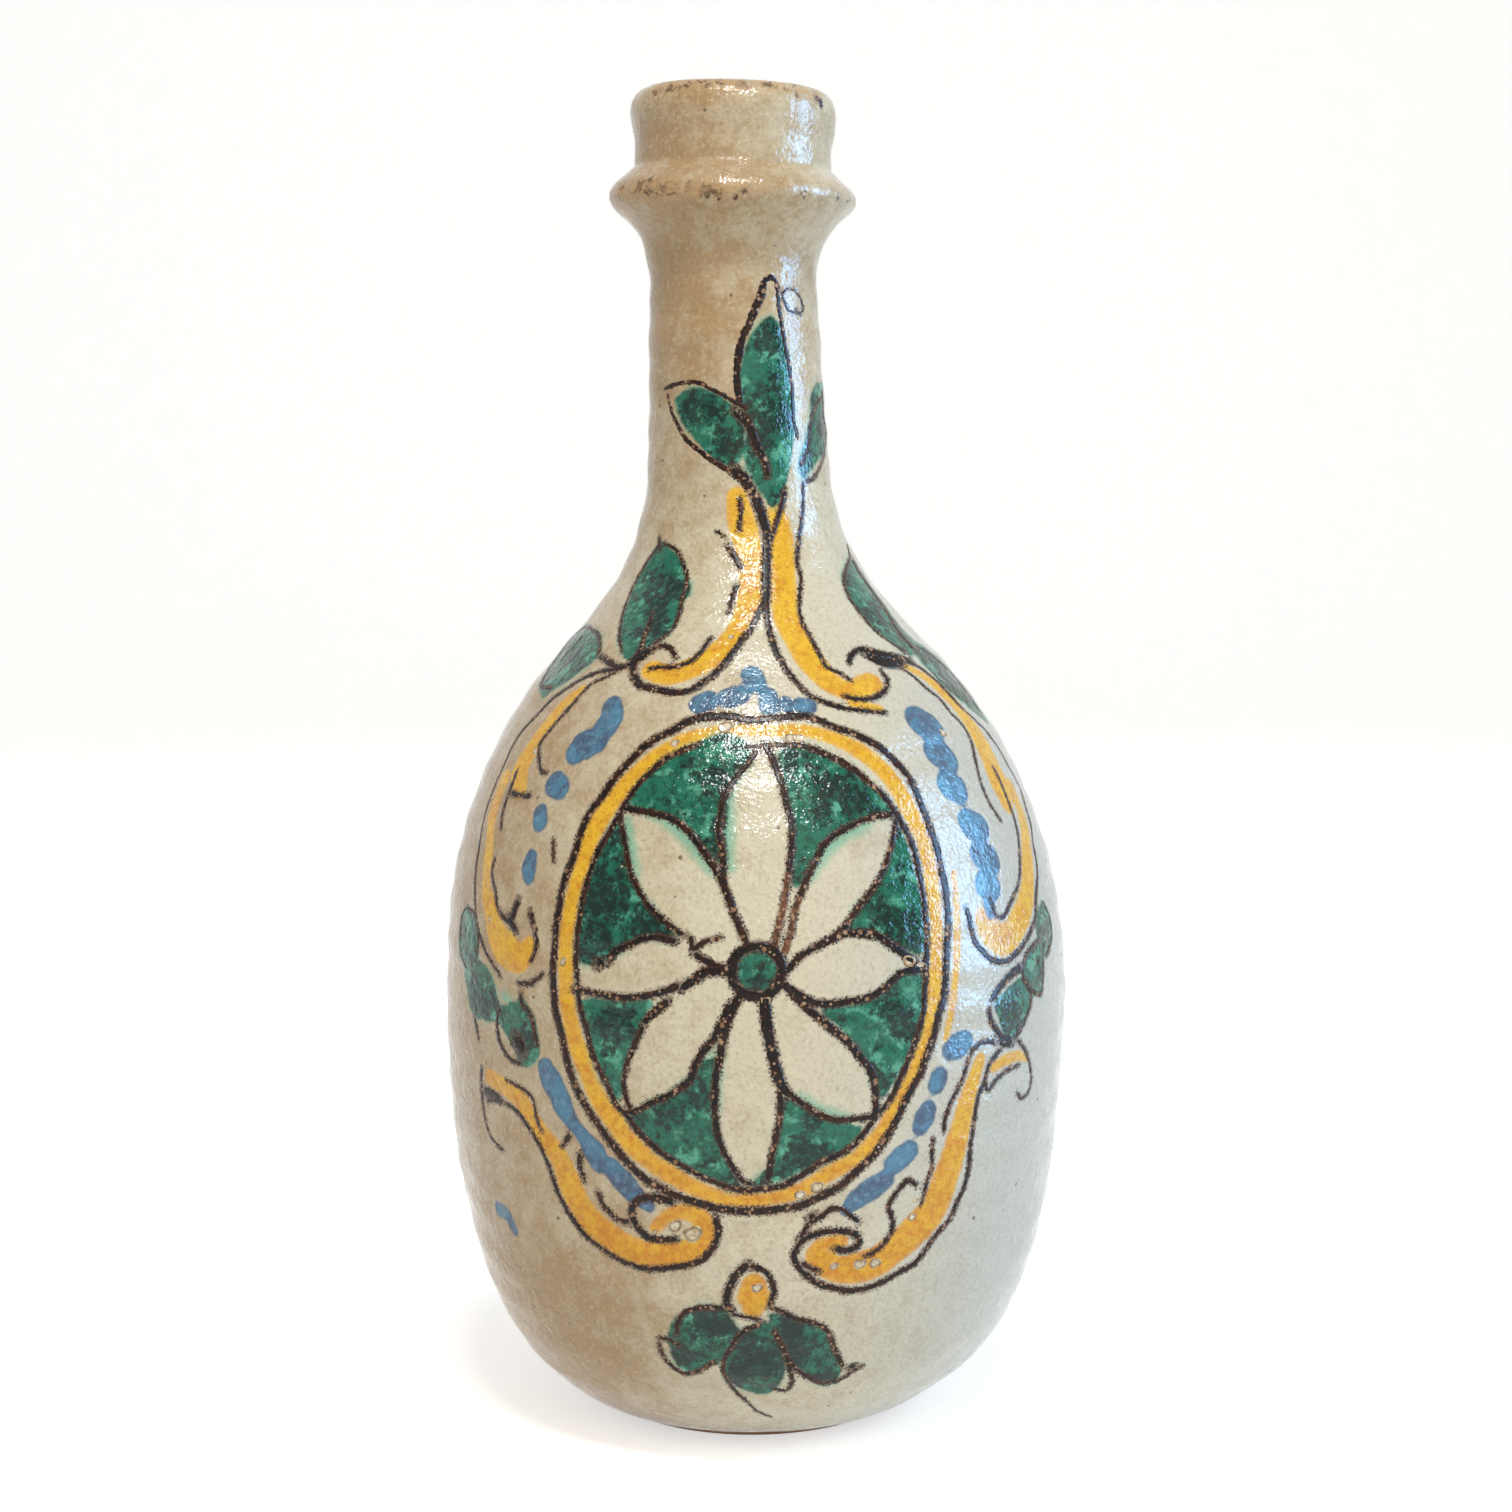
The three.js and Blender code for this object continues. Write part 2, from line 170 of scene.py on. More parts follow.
LEAF_LINES = {
    "upper left leaf, left": (0.6, 0.5, 0.4, [(659, 545), (640, 573), (629, 596), (622, 616), (619, 636),
        (622, 652)]),
    "upper left leaf, right": (0.6, 0.7, 0.4, [(664, 543), (677, 551), (683, 564), (687, 580), (682, 600),
        (678, 618), (669, 633), (653, 644)]),
    "upper left leaf, tip": (0.5, 0.5, 0.4, [(659, 536), (660, 551)]),
    "upper left leaf, rib": (0.6, 1.4, 0.7, [(653, 613), (647, 629), (640, 649), (632, 662)]),
    "upper left leaf, load": (2.4, 2.0, 1.0, [(651, 649), (641, 656), (630, 663)]),
    "outer left leaf": (1.0, 1.0, 0.6, [(586, 626), (573, 636), (560, 653), (548, 670), (541, 685),
        (551, 688)]),
    "outer left leaf, right": (0.8, 0.8, 0.4, [(588, 627), (597, 633), (600, 644), (598, 655)]),
    "outer left leaf, rib": (0.9, 0.8, 0.5, [(582, 636), (572, 648), (560, 661)]),
    "upper right leaf, right": (1.9, 1.7, 0.9, [(853, 560), (867, 583), (886, 610), (899, 631),
        (914, 649)]),
    "upper right leaf, left": (0.7, 0.8, 0.4, [(849, 560), (844, 580), (849, 597), (860, 613), (874, 629),
        (890, 642), (907, 653)]),
    "upper right leaf, tip": (0.5, 0.5, 0.3, [(847, 544), (851, 560)]),
    "outer right leaf": (0.7, 0.6, 0.4, [(917, 645), (935, 658), (954, 676), (970, 697), (982, 713)]),
    "right side first leaf": (0.7, 0.7, 0.4, [(1043, 901), (1050, 919), (1052, 937), (1046, 956)]),
    "right side second leaf": (0.8, 0.8, 0.4, [(1037, 941), (1027, 953), (1023, 969), (1025, 982),
        (1034, 992), (1041, 994), (1043, 980), (1043, 959)]),
    "right side third leaf, left": (1.9, 1.3, 0.9, [(1021, 967), (1011, 975), (1000, 987), (992, 999)]),
    "right side third leaf, below": (1.2, 1.2, 0.6, [(989, 1009), (991, 1021), (998, 1032), (1006, 1042)]),
    "right side third leaf, right": (1.0, 1.0, 0.5, [(1025, 980), (1031, 994), (1029, 1010), (1023, 1025),
        (1015, 1038)]),
    "right side load": (2.5, 2.0, 1.0, [(999, 1039), (1005, 1041), (1012, 1042)]),
    "left side first leaf": (0.7, 0.7, 0.4, [(467, 907), (474, 914), (477, 926), (478, 941), (477, 955)]),
    "left side first leaf, out": (0.6, 0.6, 0.4, [(466, 907), (461, 919), (460, 938), (461, 955),
        (466, 967)]),
    "left side tail": (1.0, 0.8, 0.5, [(474, 1017), (477, 1030), (479, 1040)]),
    "left side third leaf, right": (1.0, 0.9, 0.5, [(520, 994), (522, 1005), (529, 1012), (533, 1026),
        (537, 1046)]),
    "left side third leaf, left": (0.8, 1.0, 0.5, [(499, 1009), (497, 1023), (499, 1039), (504, 1051),
        (511, 1060), (521, 1064)]),
    "left side load": (3.4, 3.0, 0.9, [(515, 1038), (519, 1045), (523, 1052)]),
}

ROSETTE_LINES = {
    "outer ring": (1.5, 1.5, 0.55, [(732, 717), (751, 720), (776, 718), (800, 716), (818, 720), (834, 727),
        (853, 733), (867, 740), (882, 749), (894, 760), (904, 771), (913, 785), (920, 802), (926, 816),
        (931, 831), (936, 845), (940, 862), (944, 882), (947, 905), (948, 925), (947, 945), (946, 970),
        (944, 998), (938, 1017), (934, 1036), (926, 1058), (919, 1077), (909, 1094), (898, 1117),
        (888, 1135), (875, 1154), (859, 1169), (844, 1183), (830, 1192), (813, 1200), (798, 1206),
        (778, 1209), (759, 1211), (738, 1211), (715, 1208), (695, 1202), (676, 1196), (661, 1188),
        (645, 1179), (630, 1165), (615, 1148), (601, 1129), (588, 1110), (576, 1088), (568, 1065),
        (562, 1036), (555, 1008), (553, 979), (554, 955), (556, 927), (559, 909), (561, 893), (567, 874),
        (574, 856), (579, 838), (584, 824), (592, 809), (603, 796), (612, 782), (624, 767), (635, 756),
        (646, 745), (657, 738), (672, 731), (684, 724), (697, 719), (712, 717), (736, 716)]),
    "outer ring, heavy start": (1.3, 1.7, 1.0, [(640, 750), (668, 732), (697, 718), (725, 716),
        (748, 720)]),
    "inner ring": (1.2, 1.0, 0.5, [(800, 745), (818, 751), (838, 760), (856, 771), (871, 784), (884, 796),
        (896, 813), (904, 827), (911, 842), (916, 858), (920, 878), (924, 900), (926, 922), (927, 945),
        (926, 969), (925, 988), (924, 1008), (919, 1031), (911, 1054), (901, 1077), (890, 1100),
        (878, 1115), (867, 1129), (855, 1144), (840, 1154), (825, 1161), (805, 1173), (784, 1185),
        (762, 1189), (740, 1190), (722, 1185), (703, 1177), (688, 1169), (672, 1160), (653, 1146),
        (638, 1131), (626, 1115), (616, 1104), (607, 1085), (597, 1065), (591, 1050), (586, 1027),
        (579, 1002), (577, 979), (576, 956), (578, 927), (583, 898), (588, 878), (597, 854), (608, 834),
        (618, 817), (624, 805), (635, 789), (648, 774), (664, 760), (681, 751), (699, 744)]),
    "inner ring, top": (0.8, 1.2, 0.3, [(745, 747), (772, 745), (802, 745)]),
    "eye": (1.9, 1.9, 0.95, [(757, 946), (770, 949), (780, 960), (782, 972), (778, 985), (768, 994),
        (756, 996), (744, 993), (735, 984), (732, 971), (735, 958), (745, 949), (759, 946)]),
    "first petal left": (1.0, 1.3, 0.6, [(757, 750), (748, 764), (739, 774), (732, 784), (724, 798),
        (721, 816), (720, 834), (723, 855), (724, 878), (728, 896), (734, 914), (741, 931), (748, 946)]),
    "first petal right": (1.2, 1.3, 0.55, [(764, 744), (771, 756), (776, 769), (782, 785), (786, 802),
        (791, 820), (792, 838), (791, 856), (789, 872)]),
    "first petal right, dry end": (1.3, 1.2, 0.05, [(789, 872), (785, 896), (782, 914), (777, 933),
        (774, 948)]),
    "second petal left, dry start": (1.1, 1.2, 0.05, [(784, 954), (791, 931), (795, 911), (800, 896)]),
    "second petal left": (1.2, 1.1, 0.6, [(800, 896), (809, 874), (818, 856), (824, 844), (836, 834),
        (849, 827), (864, 820), (878, 816), (894, 814)]),
    "second petal right": (1.1, 1.2, 0.55, [(896, 818), (893, 840), (887, 860), (882, 874), (874, 887),
        (864, 900), (854, 913), (844, 927), (831, 938), (816, 947), (800, 957), (786, 972)]),
    "third petal top": (1.5, 1.6, 0.95, [(816, 947), (836, 937), (849, 933), (864, 934), (878, 936),
        (891, 945), (904, 954), (917, 962)]),
    "third petal bottom": (1.3, 1.4, 0.9, [(925, 970), (915, 970), (901, 973), (892, 981), (882, 990),
        (867, 998), (848, 1002), (828, 1004), (813, 1002), (798, 994), (784, 984)]),
    "fourth petal right": (1.6, 1.4, 0.7, [(784, 984), (801, 1002), (817, 1017), (832, 1029), (848, 1042),
        (861, 1058), (871, 1071), (875, 1088), (876, 1104), (875, 1117)]),
    "fourth petal left": (2.2, 1.9, 1.0, [(764, 998), (767, 1027), (771, 1046), (775, 1065), (780, 1083),
        (789, 1095)]),
    "fourth petal bottom": (1.2, 1.1, 0.6, [(787, 1092), (803, 1104), (821, 1115), (836, 1120), (855, 1119),
        (876, 1116)]),
    "fifth petal right": (1.2, 1.0, 0.5, [(780, 1090), (780, 1115), (776, 1138), (771, 1160), (768, 1180)]),
    "fifth petal left": (1.6, 1.0, 0.75, [(740, 994), (730, 1017), (724, 1036), (720, 1058), (716, 1077),
        (715, 1096), (715, 1115), (718, 1135), (724, 1152), (734, 1169), (743, 1181), (752, 1184)]),
    "sixth petal right": (1.5, 1.0, 0.65, [(730, 1004), (720, 1027), (713, 1040), (703, 1052), (695, 1066),
        (690, 1080), (680, 1088), (668, 1096), (653, 1102), (638, 1110), (624, 1113)]),
    "sixth petal left": (1.9, 1.6, 0.95, [(732, 972), (707, 972), (693, 981), (681, 989)]),
    "sixth petal left, below": (1.6, 1.2, 0.9, [(668, 1001), (653, 1014), (643, 1023)]),
    "sixth petal left edge": (1.0, 0.9, 0.5, [(643, 1027), (634, 1046), (628, 1061), (624, 1081),
        (626, 1098), (631, 1110)]),
    "seventh petal load": (2.6, 2.0, 0.9, [(597, 964), (604, 963)]),
    "seventh petal top": (1.4, 1.2, 0.85, [(608, 962), (617, 951), (632, 944), (646, 938), (661, 938),
        (676, 942)]),
    "seventh petal bottom": (1.1, 1.4, 0.7, [(572, 990), (588, 992), (607, 996), (626, 998), (645, 996),
        (665, 991), (678, 985)]),
    "seventh petal first mark": (1.0, 0.9, 0.3, [(690, 936), (694, 949), (704, 942), (722, 937)]),
    "seventh petal second mark": (1.3, 1.5, 0.5, [(694, 954), (707, 961), (722, 968), (734, 968)]),
    "eighth petal left": (1.0, 1.0, 0.6, [(621, 809), (621, 820), (624, 836), (627, 854), (630, 871),
        (637, 887), (646, 902), (657, 914), (668, 924), (683, 935)]),
    "eighth petal right": (1.2, 1.5, 0.6, [(624, 807), (639, 811), (657, 814), (674, 820), (686, 829),
        (697, 842), (708, 858), (717, 871), (723, 884), (730, 902), (736, 918), (745, 938)]),
}

SPRIG_LINES = {
    "bud left": (1.5, 1.4, 0.85, [(748, 1264), (737, 1274), (729, 1289), (727, 1303), (733, 1313)]),
    "bud right": (1.1, 1.0, 0.6, [(750, 1266), (763, 1270), (771, 1279), (774, 1292), (769, 1306)]),
    "bud bottom": (0.7, 0.7, 0.4, [(732, 1314), (745, 1317), (762, 1320)]),
    "left leaf start": (0.8, 0.7, 0.5, [(659, 1338), (670, 1340), (679, 1347)]),
    "left leaf top": (1.0, 1.0, 0.4, [(677, 1334), (678, 1323), (686, 1312), (701, 1308), (723, 1308)]),
    "left leaf bottom": (0.8, 0.8, 0.4, [(659, 1343), (663, 1356), (673, 1367), (686, 1374), (699, 1371),
        (715, 1361)]),
    "middle leaf left": (0.9, 0.5, 0.4, [(761, 1324), (742, 1333), (729, 1351), (723, 1369), (732, 1387),
        (745, 1400), (757, 1411), (771, 1417)]),
    "middle leaf right": (0.8, 0.8, 0.4, [(773, 1332), (783, 1348), (788, 1364), (792, 1379), (787, 1390),
        (774, 1389)]),
    "right leaf top": (1.0, 1.0, 0.4, [(769, 1307), (783, 1312), (796, 1319), (816, 1323), (829, 1333),
        (834, 1348), (843, 1367)]),
    "right leaf bottom": (0.9, 1.0, 0.4, [(775, 1330), (783, 1348), (793, 1366), (806, 1376), (821, 1383),
        (837, 1381), (850, 1373), (862, 1366)]),
    "right leaf load": (1.6, 1.4, 0.8, [(850, 1368), (855, 1366)]),
}

# Colours laid on before the lines. Areas are outlines in photo pixels. The others are brush strokes,
# each point with the stroke's width there in millimetres.

GREEN_AREAS = {
    "neck middle leaf": [(770, 318), (757, 330), (748, 345), (743, 362), (742, 385), (744, 405), (750, 425),
        (744, 450), (748, 465), (757, 482), (767, 498), (773, 505), (780, 496), (786, 475), (790, 450),
        (793, 425), (792, 400), (789, 372), (785, 350), (780, 330)],
    "neck left leaf": [(676, 400), (689, 391), (704, 391), (722, 400), (736, 413), (742, 429), (742, 453),
        (731, 464), (713, 456), (698, 440), (684, 422)],
    "neck right leaf": [(819, 382), (824, 388), (826, 409), (827, 436), (824, 449), (813, 464), (803, 476),
        (801, 462), (807, 438), (811, 418), (812, 396)],
    "upper left leaf": [(659, 544), (651, 556), (640, 576), (631, 598), (624, 618), (622, 638), (624, 654),
        (633, 658), (649, 644), (664, 636), (676, 620), (682, 602), (689, 590), (686, 577), (682, 564),
        (673, 553), (664, 544)],
    "outer left leaf": [(586, 626), (596, 633), (600, 642), (597, 656), (582, 669), (567, 680), (553, 689),
        (544, 696), (541, 684), (551, 664), (564, 647), (576, 633)],
    "upper right leaf": [(849, 560), (844, 579), (851, 599), (863, 615), (876, 631), (894, 644), (908, 654),
        (922, 651), (915, 642), (899, 626), (886, 608), (872, 588), (858, 567)],
    "outer right leaf": [(919, 644), (933, 654), (947, 667), (958, 679), (969, 692), (981, 710), (988, 722),
        (976, 713), (963, 701), (944, 685), (929, 669), (919, 658)],
    "right side first leaf": [(1043, 901), (1050, 919), (1052, 937), (1047, 955), (1041, 951), (1037, 930),
        (1037, 916)],
    "right side second leaf": [(1037, 944), (1043, 955), (1043, 973), (1041, 991), (1036, 994), (1027, 982),
        (1023, 969), (1029, 953)],
    "right side third leaf": [(1025, 978), (1031, 991), (1030, 1005), (1023, 1019), (1014, 1035),
        (1005, 1032), (1000, 1016), (996, 1005), (1004, 994), (1014, 984)],
    "left side first leaf": [(467, 907), (473, 914), (477, 925), (478, 941), (477, 955), (478, 966),
        (472, 967), (465, 967), (460, 955), (459, 937), (461, 919)],
    "left side second leaf": [(478, 962), (485, 967), (492, 980), (495, 994), (499, 1009), (494, 1019),
        (479, 1017), (472, 1009), (468, 987), (465, 969)],
    "left side third leaf": [(499, 1009), (511, 1005), (522, 1001), (531, 1014), (535, 1026), (538, 1048),
        (535, 1060), (522, 1064), (517, 1053), (508, 1035), (501, 1023)],
    "top left ground": [(699, 744), (725, 735), (745, 745), (748, 760), (735, 778), (727, 800), (724, 835),
        (723, 862), (705, 845), (690, 830), (675, 818), (645, 808), (628, 805), (640, 785), (665, 762)],
    "top right ground": [(783, 750), (800, 748), (830, 758), (860, 777), (885, 803), (893, 812), (865, 818),
        (835, 830), (820, 848), (808, 870), (797, 885), (793, 870), (794, 840), (793, 820), (787, 790),
        (780, 765)],
    "upper right ground": [(898, 828), (905, 845), (915, 880), (922, 910), (925, 935), (920, 952),
        (905, 948), (890, 940), (870, 932), (852, 930), (850, 920), (862, 905), (875, 890), (888, 862)],
    "lower right ground": [(920, 975), (924, 985), (922, 1010), (915, 1035), (905, 1058), (893, 1080),
        (882, 1095), (877, 1085), (872, 1068), (860, 1048), (845, 1030), (825, 1010), (850, 1006),
        (870, 1002), (885, 994), (895, 983), (905, 976)],
    "bottom right ground": [(787, 1100), (800, 1108), (820, 1118), (845, 1124), (860, 1130), (850, 1147),
        (830, 1157), (805, 1168), (780, 1178), (755, 1184), (768, 1170), (776, 1145), (781, 1120)],
    "bottom left ground": [(714, 1060), (712, 1080), (711, 1100), (712, 1120), (716, 1140), (724, 1160),
        (735, 1180), (740, 1190), (715, 1182), (690, 1170), (665, 1155), (645, 1135), (632, 1118),
        (650, 1106), (675, 1096), (692, 1082), (700, 1065)],
    "lower left ground": [(580, 1003), (592, 1000), (610, 1002), (630, 1003), (650, 1002), (645, 1012),
        (640, 1025), (632, 1042), (626, 1060), (622, 1080), (618, 1098), (607, 1085), (597, 1065),
        (590, 1045), (582, 1015)],
    "upper left ground": [(608, 836), (621, 822), (626, 855), (630, 875), (640, 893), (655, 915),
        (668, 928), (672, 936), (650, 936), (632, 942), (610, 955), (598, 963), (580, 958), (580, 930),
        (586, 895), (595, 865)],
    "eye": [(757, 952), (768, 955), (776, 964), (777, 974), (772, 984), (762, 990), (750, 990), (741, 984),
        (737, 973), (739, 962), (747, 954)],
    "sprig left leaf": [(680, 1317), (698, 1308), (719, 1308), (732, 1323), (737, 1335), (724, 1356),
        (706, 1366), (688, 1371), (675, 1358), (670, 1338), (673, 1325)],
    "sprig middle leaf": [(765, 1324), (745, 1330), (729, 1348), (723, 1366), (729, 1379), (747, 1389),
        (763, 1393), (775, 1387), (783, 1371), (780, 1348), (773, 1330)],
    "sprig right leaf": [(770, 1315), (786, 1317), (811, 1325), (827, 1335), (837, 1356), (838, 1374),
        (829, 1384), (814, 1379), (796, 1364), (783, 1346), (775, 1330)],
}

GREEN_SPILLS = {
    "beside the first petal": [(729, 786, 2.6), (727, 815, 3.4), (727, 845, 3.2), (730, 868, 2.4)],
    "over the eighth petal": [(646, 812, 2.2), (672, 823, 3.4), (694, 846, 3.4), (712, 872, 2.4)],
    "left of the eighth petal": [(627, 820, 2.4), (630, 848, 3.0), (636, 874, 2.2)],
    "over the second petal": [(868, 824, 2.4), (842, 836, 3.2), (822, 858, 2.6), (812, 878, 1.8)],
    "right of the sixth petal": [(710, 1056, 2.2), (694, 1080, 3.2), (674, 1094, 2.2)],
    "left of the fifth petal": [(720, 1050, 2.2), (716, 1085, 2.6), (717, 1110, 2.0)],
    "under the fourth petal": [(800, 1096, 2.0), (824, 1112, 2.4), (848, 1116, 1.8)],
    "ground edge": [(590, 1006, 2.4), (618, 1003, 2.4), (644, 1005, 2.2)],
    "left side leaf": [(504, 996, 2.6), (511, 1003, 2.4)],
    "neck": [(748, 468, 2.4), (756, 490, 2.4)],
}

YELLOW_BANDS = {
    "rosette ring": [(743, 730, 1.9), (772, 731, 1.9), (800, 730, 2.0), (827, 736, 2.4), (853, 747, 2.8),
        (874, 762, 3.0), (893, 782, 3.1), (907, 805, 3.2), (918, 827, 3.1), (926, 845, 2.9),
        (932, 882, 2.7), (935, 918, 2.7), (936, 954, 2.8), (934, 1000, 3.0), (925, 1040, 2.6),
        (910, 1080, 2.4), (888, 1120, 2.6), (875, 1140, 2.6), (855, 1158, 2.7), (826, 1175, 2.7),
        (798, 1192, 2.4), (759, 1200, 2.1), (722, 1198, 2.4), (695, 1188, 2.7), (672, 1175, 3.2),
        (649, 1160, 3.4), (630, 1142, 3.6), (613, 1119, 3.6), (597, 1096, 3.4), (586, 1069, 3.4),
        (576, 1042, 3.4), (570, 1017, 3.2), (566, 988, 3.0), (566, 955, 3.0), (568, 927, 3.2),
        (572, 900, 2.9), (577, 882, 2.9), (583, 864, 3.0), (588, 845, 3.2), (597, 825, 3.8),
        (610, 805, 3.4), (624, 787, 3.1), (639, 771, 2.9), (657, 756, 2.6), (672, 747, 2.5),
        (684, 740, 2.4), (703, 734, 1.9), (722, 731, 1.6), (743, 730, 1.9)],
    "left stem": [(737, 497, 3.6), (741, 520, 4.9), (748, 545, 4.6), (751, 570, 4.2), (750, 595, 4.2),
        (744, 620, 4.2), (731, 640, 4.2), (712, 657, 4.6), (690, 669, 4.5), (668, 675, 4.4),
        (652, 670, 3.9)],
    "right stem": [(776, 512, 3.0), (781, 530, 4.0), (783, 560, 4.4), (784, 590, 4.6), (786, 615, 5.0),
        (798, 640, 5.2), (812, 662, 5.6), (830, 682, 4.9), (850, 690, 4.2), (872, 683, 4.4)],
    "right stem, below the curl": [(851, 703, 1.6), (865, 706, 1.9), (880, 709, 1.4)],
    "right C upper": [(905, 666, 1.4), (925, 677, 2.2), (945, 694, 3.2), (963, 714, 4.4), (979, 738, 5.8),
        (991, 762, 6.8), (1000, 785, 6.6), (1006, 802, 4.6)],
    "right C lower": [(1012, 788, 3.2), (1023, 820, 3.8), (1027, 850, 4.2), (1028, 880, 4.8),
        (1025, 905, 5.2), (1017, 925, 5.6), (1004, 940, 5.8), (990, 931, 5.4), (982, 917, 3.4)],
    "left C upper": [(582, 689, 1.5), (564, 704, 2.6), (551, 720, 3.0), (538, 738, 3.8), (529, 753, 4.4),
        (520, 771, 5.2), (521, 790, 3.0)],
    "left C lower": [(504, 780, 3.8), (496, 802, 3.4), (491, 824, 3.0), (489, 851, 3.0), (486, 884, 3.0),
        (489, 905, 3.9), (495, 930, 5.2), (506, 950, 6.6), (521, 956, 5.6), (529, 944, 2.6)],
    "lower right scroll": [(980, 1060, 2.4), (972, 1085, 3.3), (966, 1105, 4.0), (960, 1130, 4.6),
        (953, 1155, 5.4), (945, 1180, 5.8), (935, 1205, 6.4), (916, 1230, 6.6), (893, 1250, 6.2),
        (868, 1265, 6.0), (840, 1268, 5.4), (818, 1258, 4.2), (822, 1246, 2.8), (841, 1241, 2.4)],
    "right tip": [(993, 1068, 1.4), (1005, 1060, 1.9), (1018, 1056, 1.7), (1026, 1058, 1.2)],
    "lower left scroll": [(490, 1078, 3.0), (506, 1088, 3.2), (521, 1101, 3.7), (532, 1118, 3.9),
        (543, 1137, 4.0), (557, 1155, 4.6), (566, 1173, 5.0), (573, 1192, 5.0), (583, 1210, 5.2),
        (597, 1227, 5.2), (615, 1241, 5.2), (637, 1252, 5.0), (662, 1254, 4.8), (683, 1254, 4.6),
        (699, 1246, 4.4), (706, 1232, 4.2), (699, 1217, 3.6), (683, 1212, 2.6), (667, 1217, 2.2),
        (655, 1228, 1.8)],
    "bud": [(754, 1284, 4.0), (754, 1299, 5.8), (753, 1309, 3.6)],
    "right halo": [(954, 872, 0.9), (957, 910, 1.1), (957, 950, 1.2), (953, 1000, 1.1), (946, 1040, 0.8)],
}

BLUE_DABS = {
    "top": [(752, 675, 4.4), (755, 684, 4.6)],
    "top far left": [(700, 704, 4.4), (708, 701, 4.6)],
    "top left": [(729, 698, 4.8), (738, 695, 4.8)],
    "top middle": [(768, 696, 4.0), (770, 707, 4.2)],
    "top right": [(800, 706, 3.8), (808, 706, 3.6)],
    "top, right of the middle": [(786, 702, 2.8), (789, 708, 3.0)],
    "left pair, upper": [(612, 706, 4.4), (611, 718, 5.6), (604, 729, 5.8)],
    "left pair, lower": [(596, 740, 6.0), (583, 746, 6.8), (576, 752, 5.2)],
    "left second": [(555, 784, 5.4), (560, 788, 4.8)],
    "left third": [(540, 813, 3.8), (540, 822, 4.0)],
    "left fourth": [(531, 858, 3.4), (529, 868, 4.2), (529, 877, 3.2)],
    "right first": [(920, 721, 7.2), (930, 727, 7.4)],
    "right second": [(937, 753, 6.8), (945, 758, 6.8)],
    "right third": [(949, 785, 6.2), (957, 789, 6.2)],
    "right fourth": [(970, 823, 6.4), (978, 828, 6.6)],
    "right fifth": [(981, 855, 6.2), (989, 860, 6.6)],
    "right sixth": [(984, 884, 5.4), (992, 888, 5.4)],
    "right tip": [(989, 902, 3.4), (990, 914, 2.2)],
    "lower right first": [(951, 1050, 4.2), (958, 1046, 5.2), (965, 1041, 4.2)],
    "lower right second": [(939, 1077, 3.9), (937, 1084, 4.1)],
    "lower right third": [(928, 1110, 3.9), (924, 1119, 4.7), (921, 1126, 3.9)],
    "lower right fourth": [(909, 1151, 4.2), (901, 1158, 5.0), (894, 1164, 4.2)],
    "lower right stroke": [(885, 1180, 3.9), (870, 1190, 4.6), (856, 1200, 4.0), (846, 1210, 2.4)],
    "lower left stroke": [(546, 1069, 4.4), (551, 1080, 5.6), (558, 1093, 4.8), (563, 1106, 4.8),
        (571, 1121, 3.6), (583, 1136, 3.2), (594, 1152, 4.8), (600, 1164, 4.0)],
    "lower left stroke, end": [(609, 1166, 4.0), (623, 1181, 4.6), (636, 1196, 3.8), (649, 1206, 2.4)],
    "stray smear": [(499, 1209, 3.2), (507, 1215, 2.8), (515, 1231, 2.2)],
}

# Worn and chipped places: the photo pixel, and the flake's radius and depth in millimetres.
WORN_SPOTS = {
    "chip on the lip": (820, 101, 1.5, 0.5), "chip on the lip, left": (797, 94, 0.9, 0.15),
    "lip mark": (742, 85, 1.3, 0.2), "lip mark, middle": (722, 82, 1.1, 0.2),
    "lip mark, right": (763, 84, 1.0, 0.15), "lip rub": (704, 84, 1.2, 0.15),
    "lip rub, left": (672, 88, 1.3, 0.12), "lip rub, far left": (656, 92, 1.0, 0.12),
    "ring scuff": (640, 187, 1.5, 0.2), "ring scuff, second": (652, 186, 1.8, 0.25),
    "ring scuff, third": (665, 189, 1.6, 0.2), "ring scuff, fourth": (692, 187, 1.4, 0.2),
    "ring scuff, fifth": (706, 191, 1.5, 0.2), "ring scuff, sixth": (718, 192, 1.1, 0.15),
    "ring rub, end": (744, 190, 0.8, 0.1), "ring rub, far left": (622, 190, 1.0, 0.15),
    "ring pit": (806, 195, 1.1, 0.35), "ring pit, right": (838, 196, 0.9, 0.25),
    "ring pit, end": (848, 203, 0.8, 0.2), "under the ring": (735, 197, 0.6, 0.15),
}

# Bubbles that burst in the kiln: the photo pixel and the radius in millimetres.
BURST_BUBBLES = {
    "stem": (752, 628, 0.8), "stem, left": (731, 637, 0.6), "left C": (535, 751, 0.8),
    "ring top": (726, 727, 1.5), "ring top left": (675, 743, 0.9), "ring top right": (790, 738, 1.1),
    "ring top far right": (798, 738, 1.1), "ring left": (563, 962, 0.9), "left C foot": (490, 919, 0.6),
    "left scroll": (693, 1234, 1.9), "left scroll, second": (675, 1226, 1.4),
    "left scroll, third": (655, 1232, 0.6), "right scroll": (875, 1263, 1.2),
    "right scroll, second": (860, 1264, 1.3), "right scroll, third": (834, 1266, 0.9),
    "right scroll, top": (912, 1217, 0.9), "ring bottom": (817, 1187, 1.3),
    "ring bottom left": (800, 1195, 1.1), "right scroll, high": (915, 1200, 0.6), "bud": (757, 1288, 1.1),
    "third petal": (909, 961, 1.3), "third petal tip": (922, 966, 0.9), "eye": (766, 1001, 0.9),
    "right blue": (943, 733, 0.9),
}


# The settings on the panel

def length(name, description, millimetres, **options):
    """A length, given in millimetres and kept in metres."""
    return bpy.props.FloatProperty(
        name=name, description=description, default=millimetres * MM, unit="LENGTH", precision=5, **options)


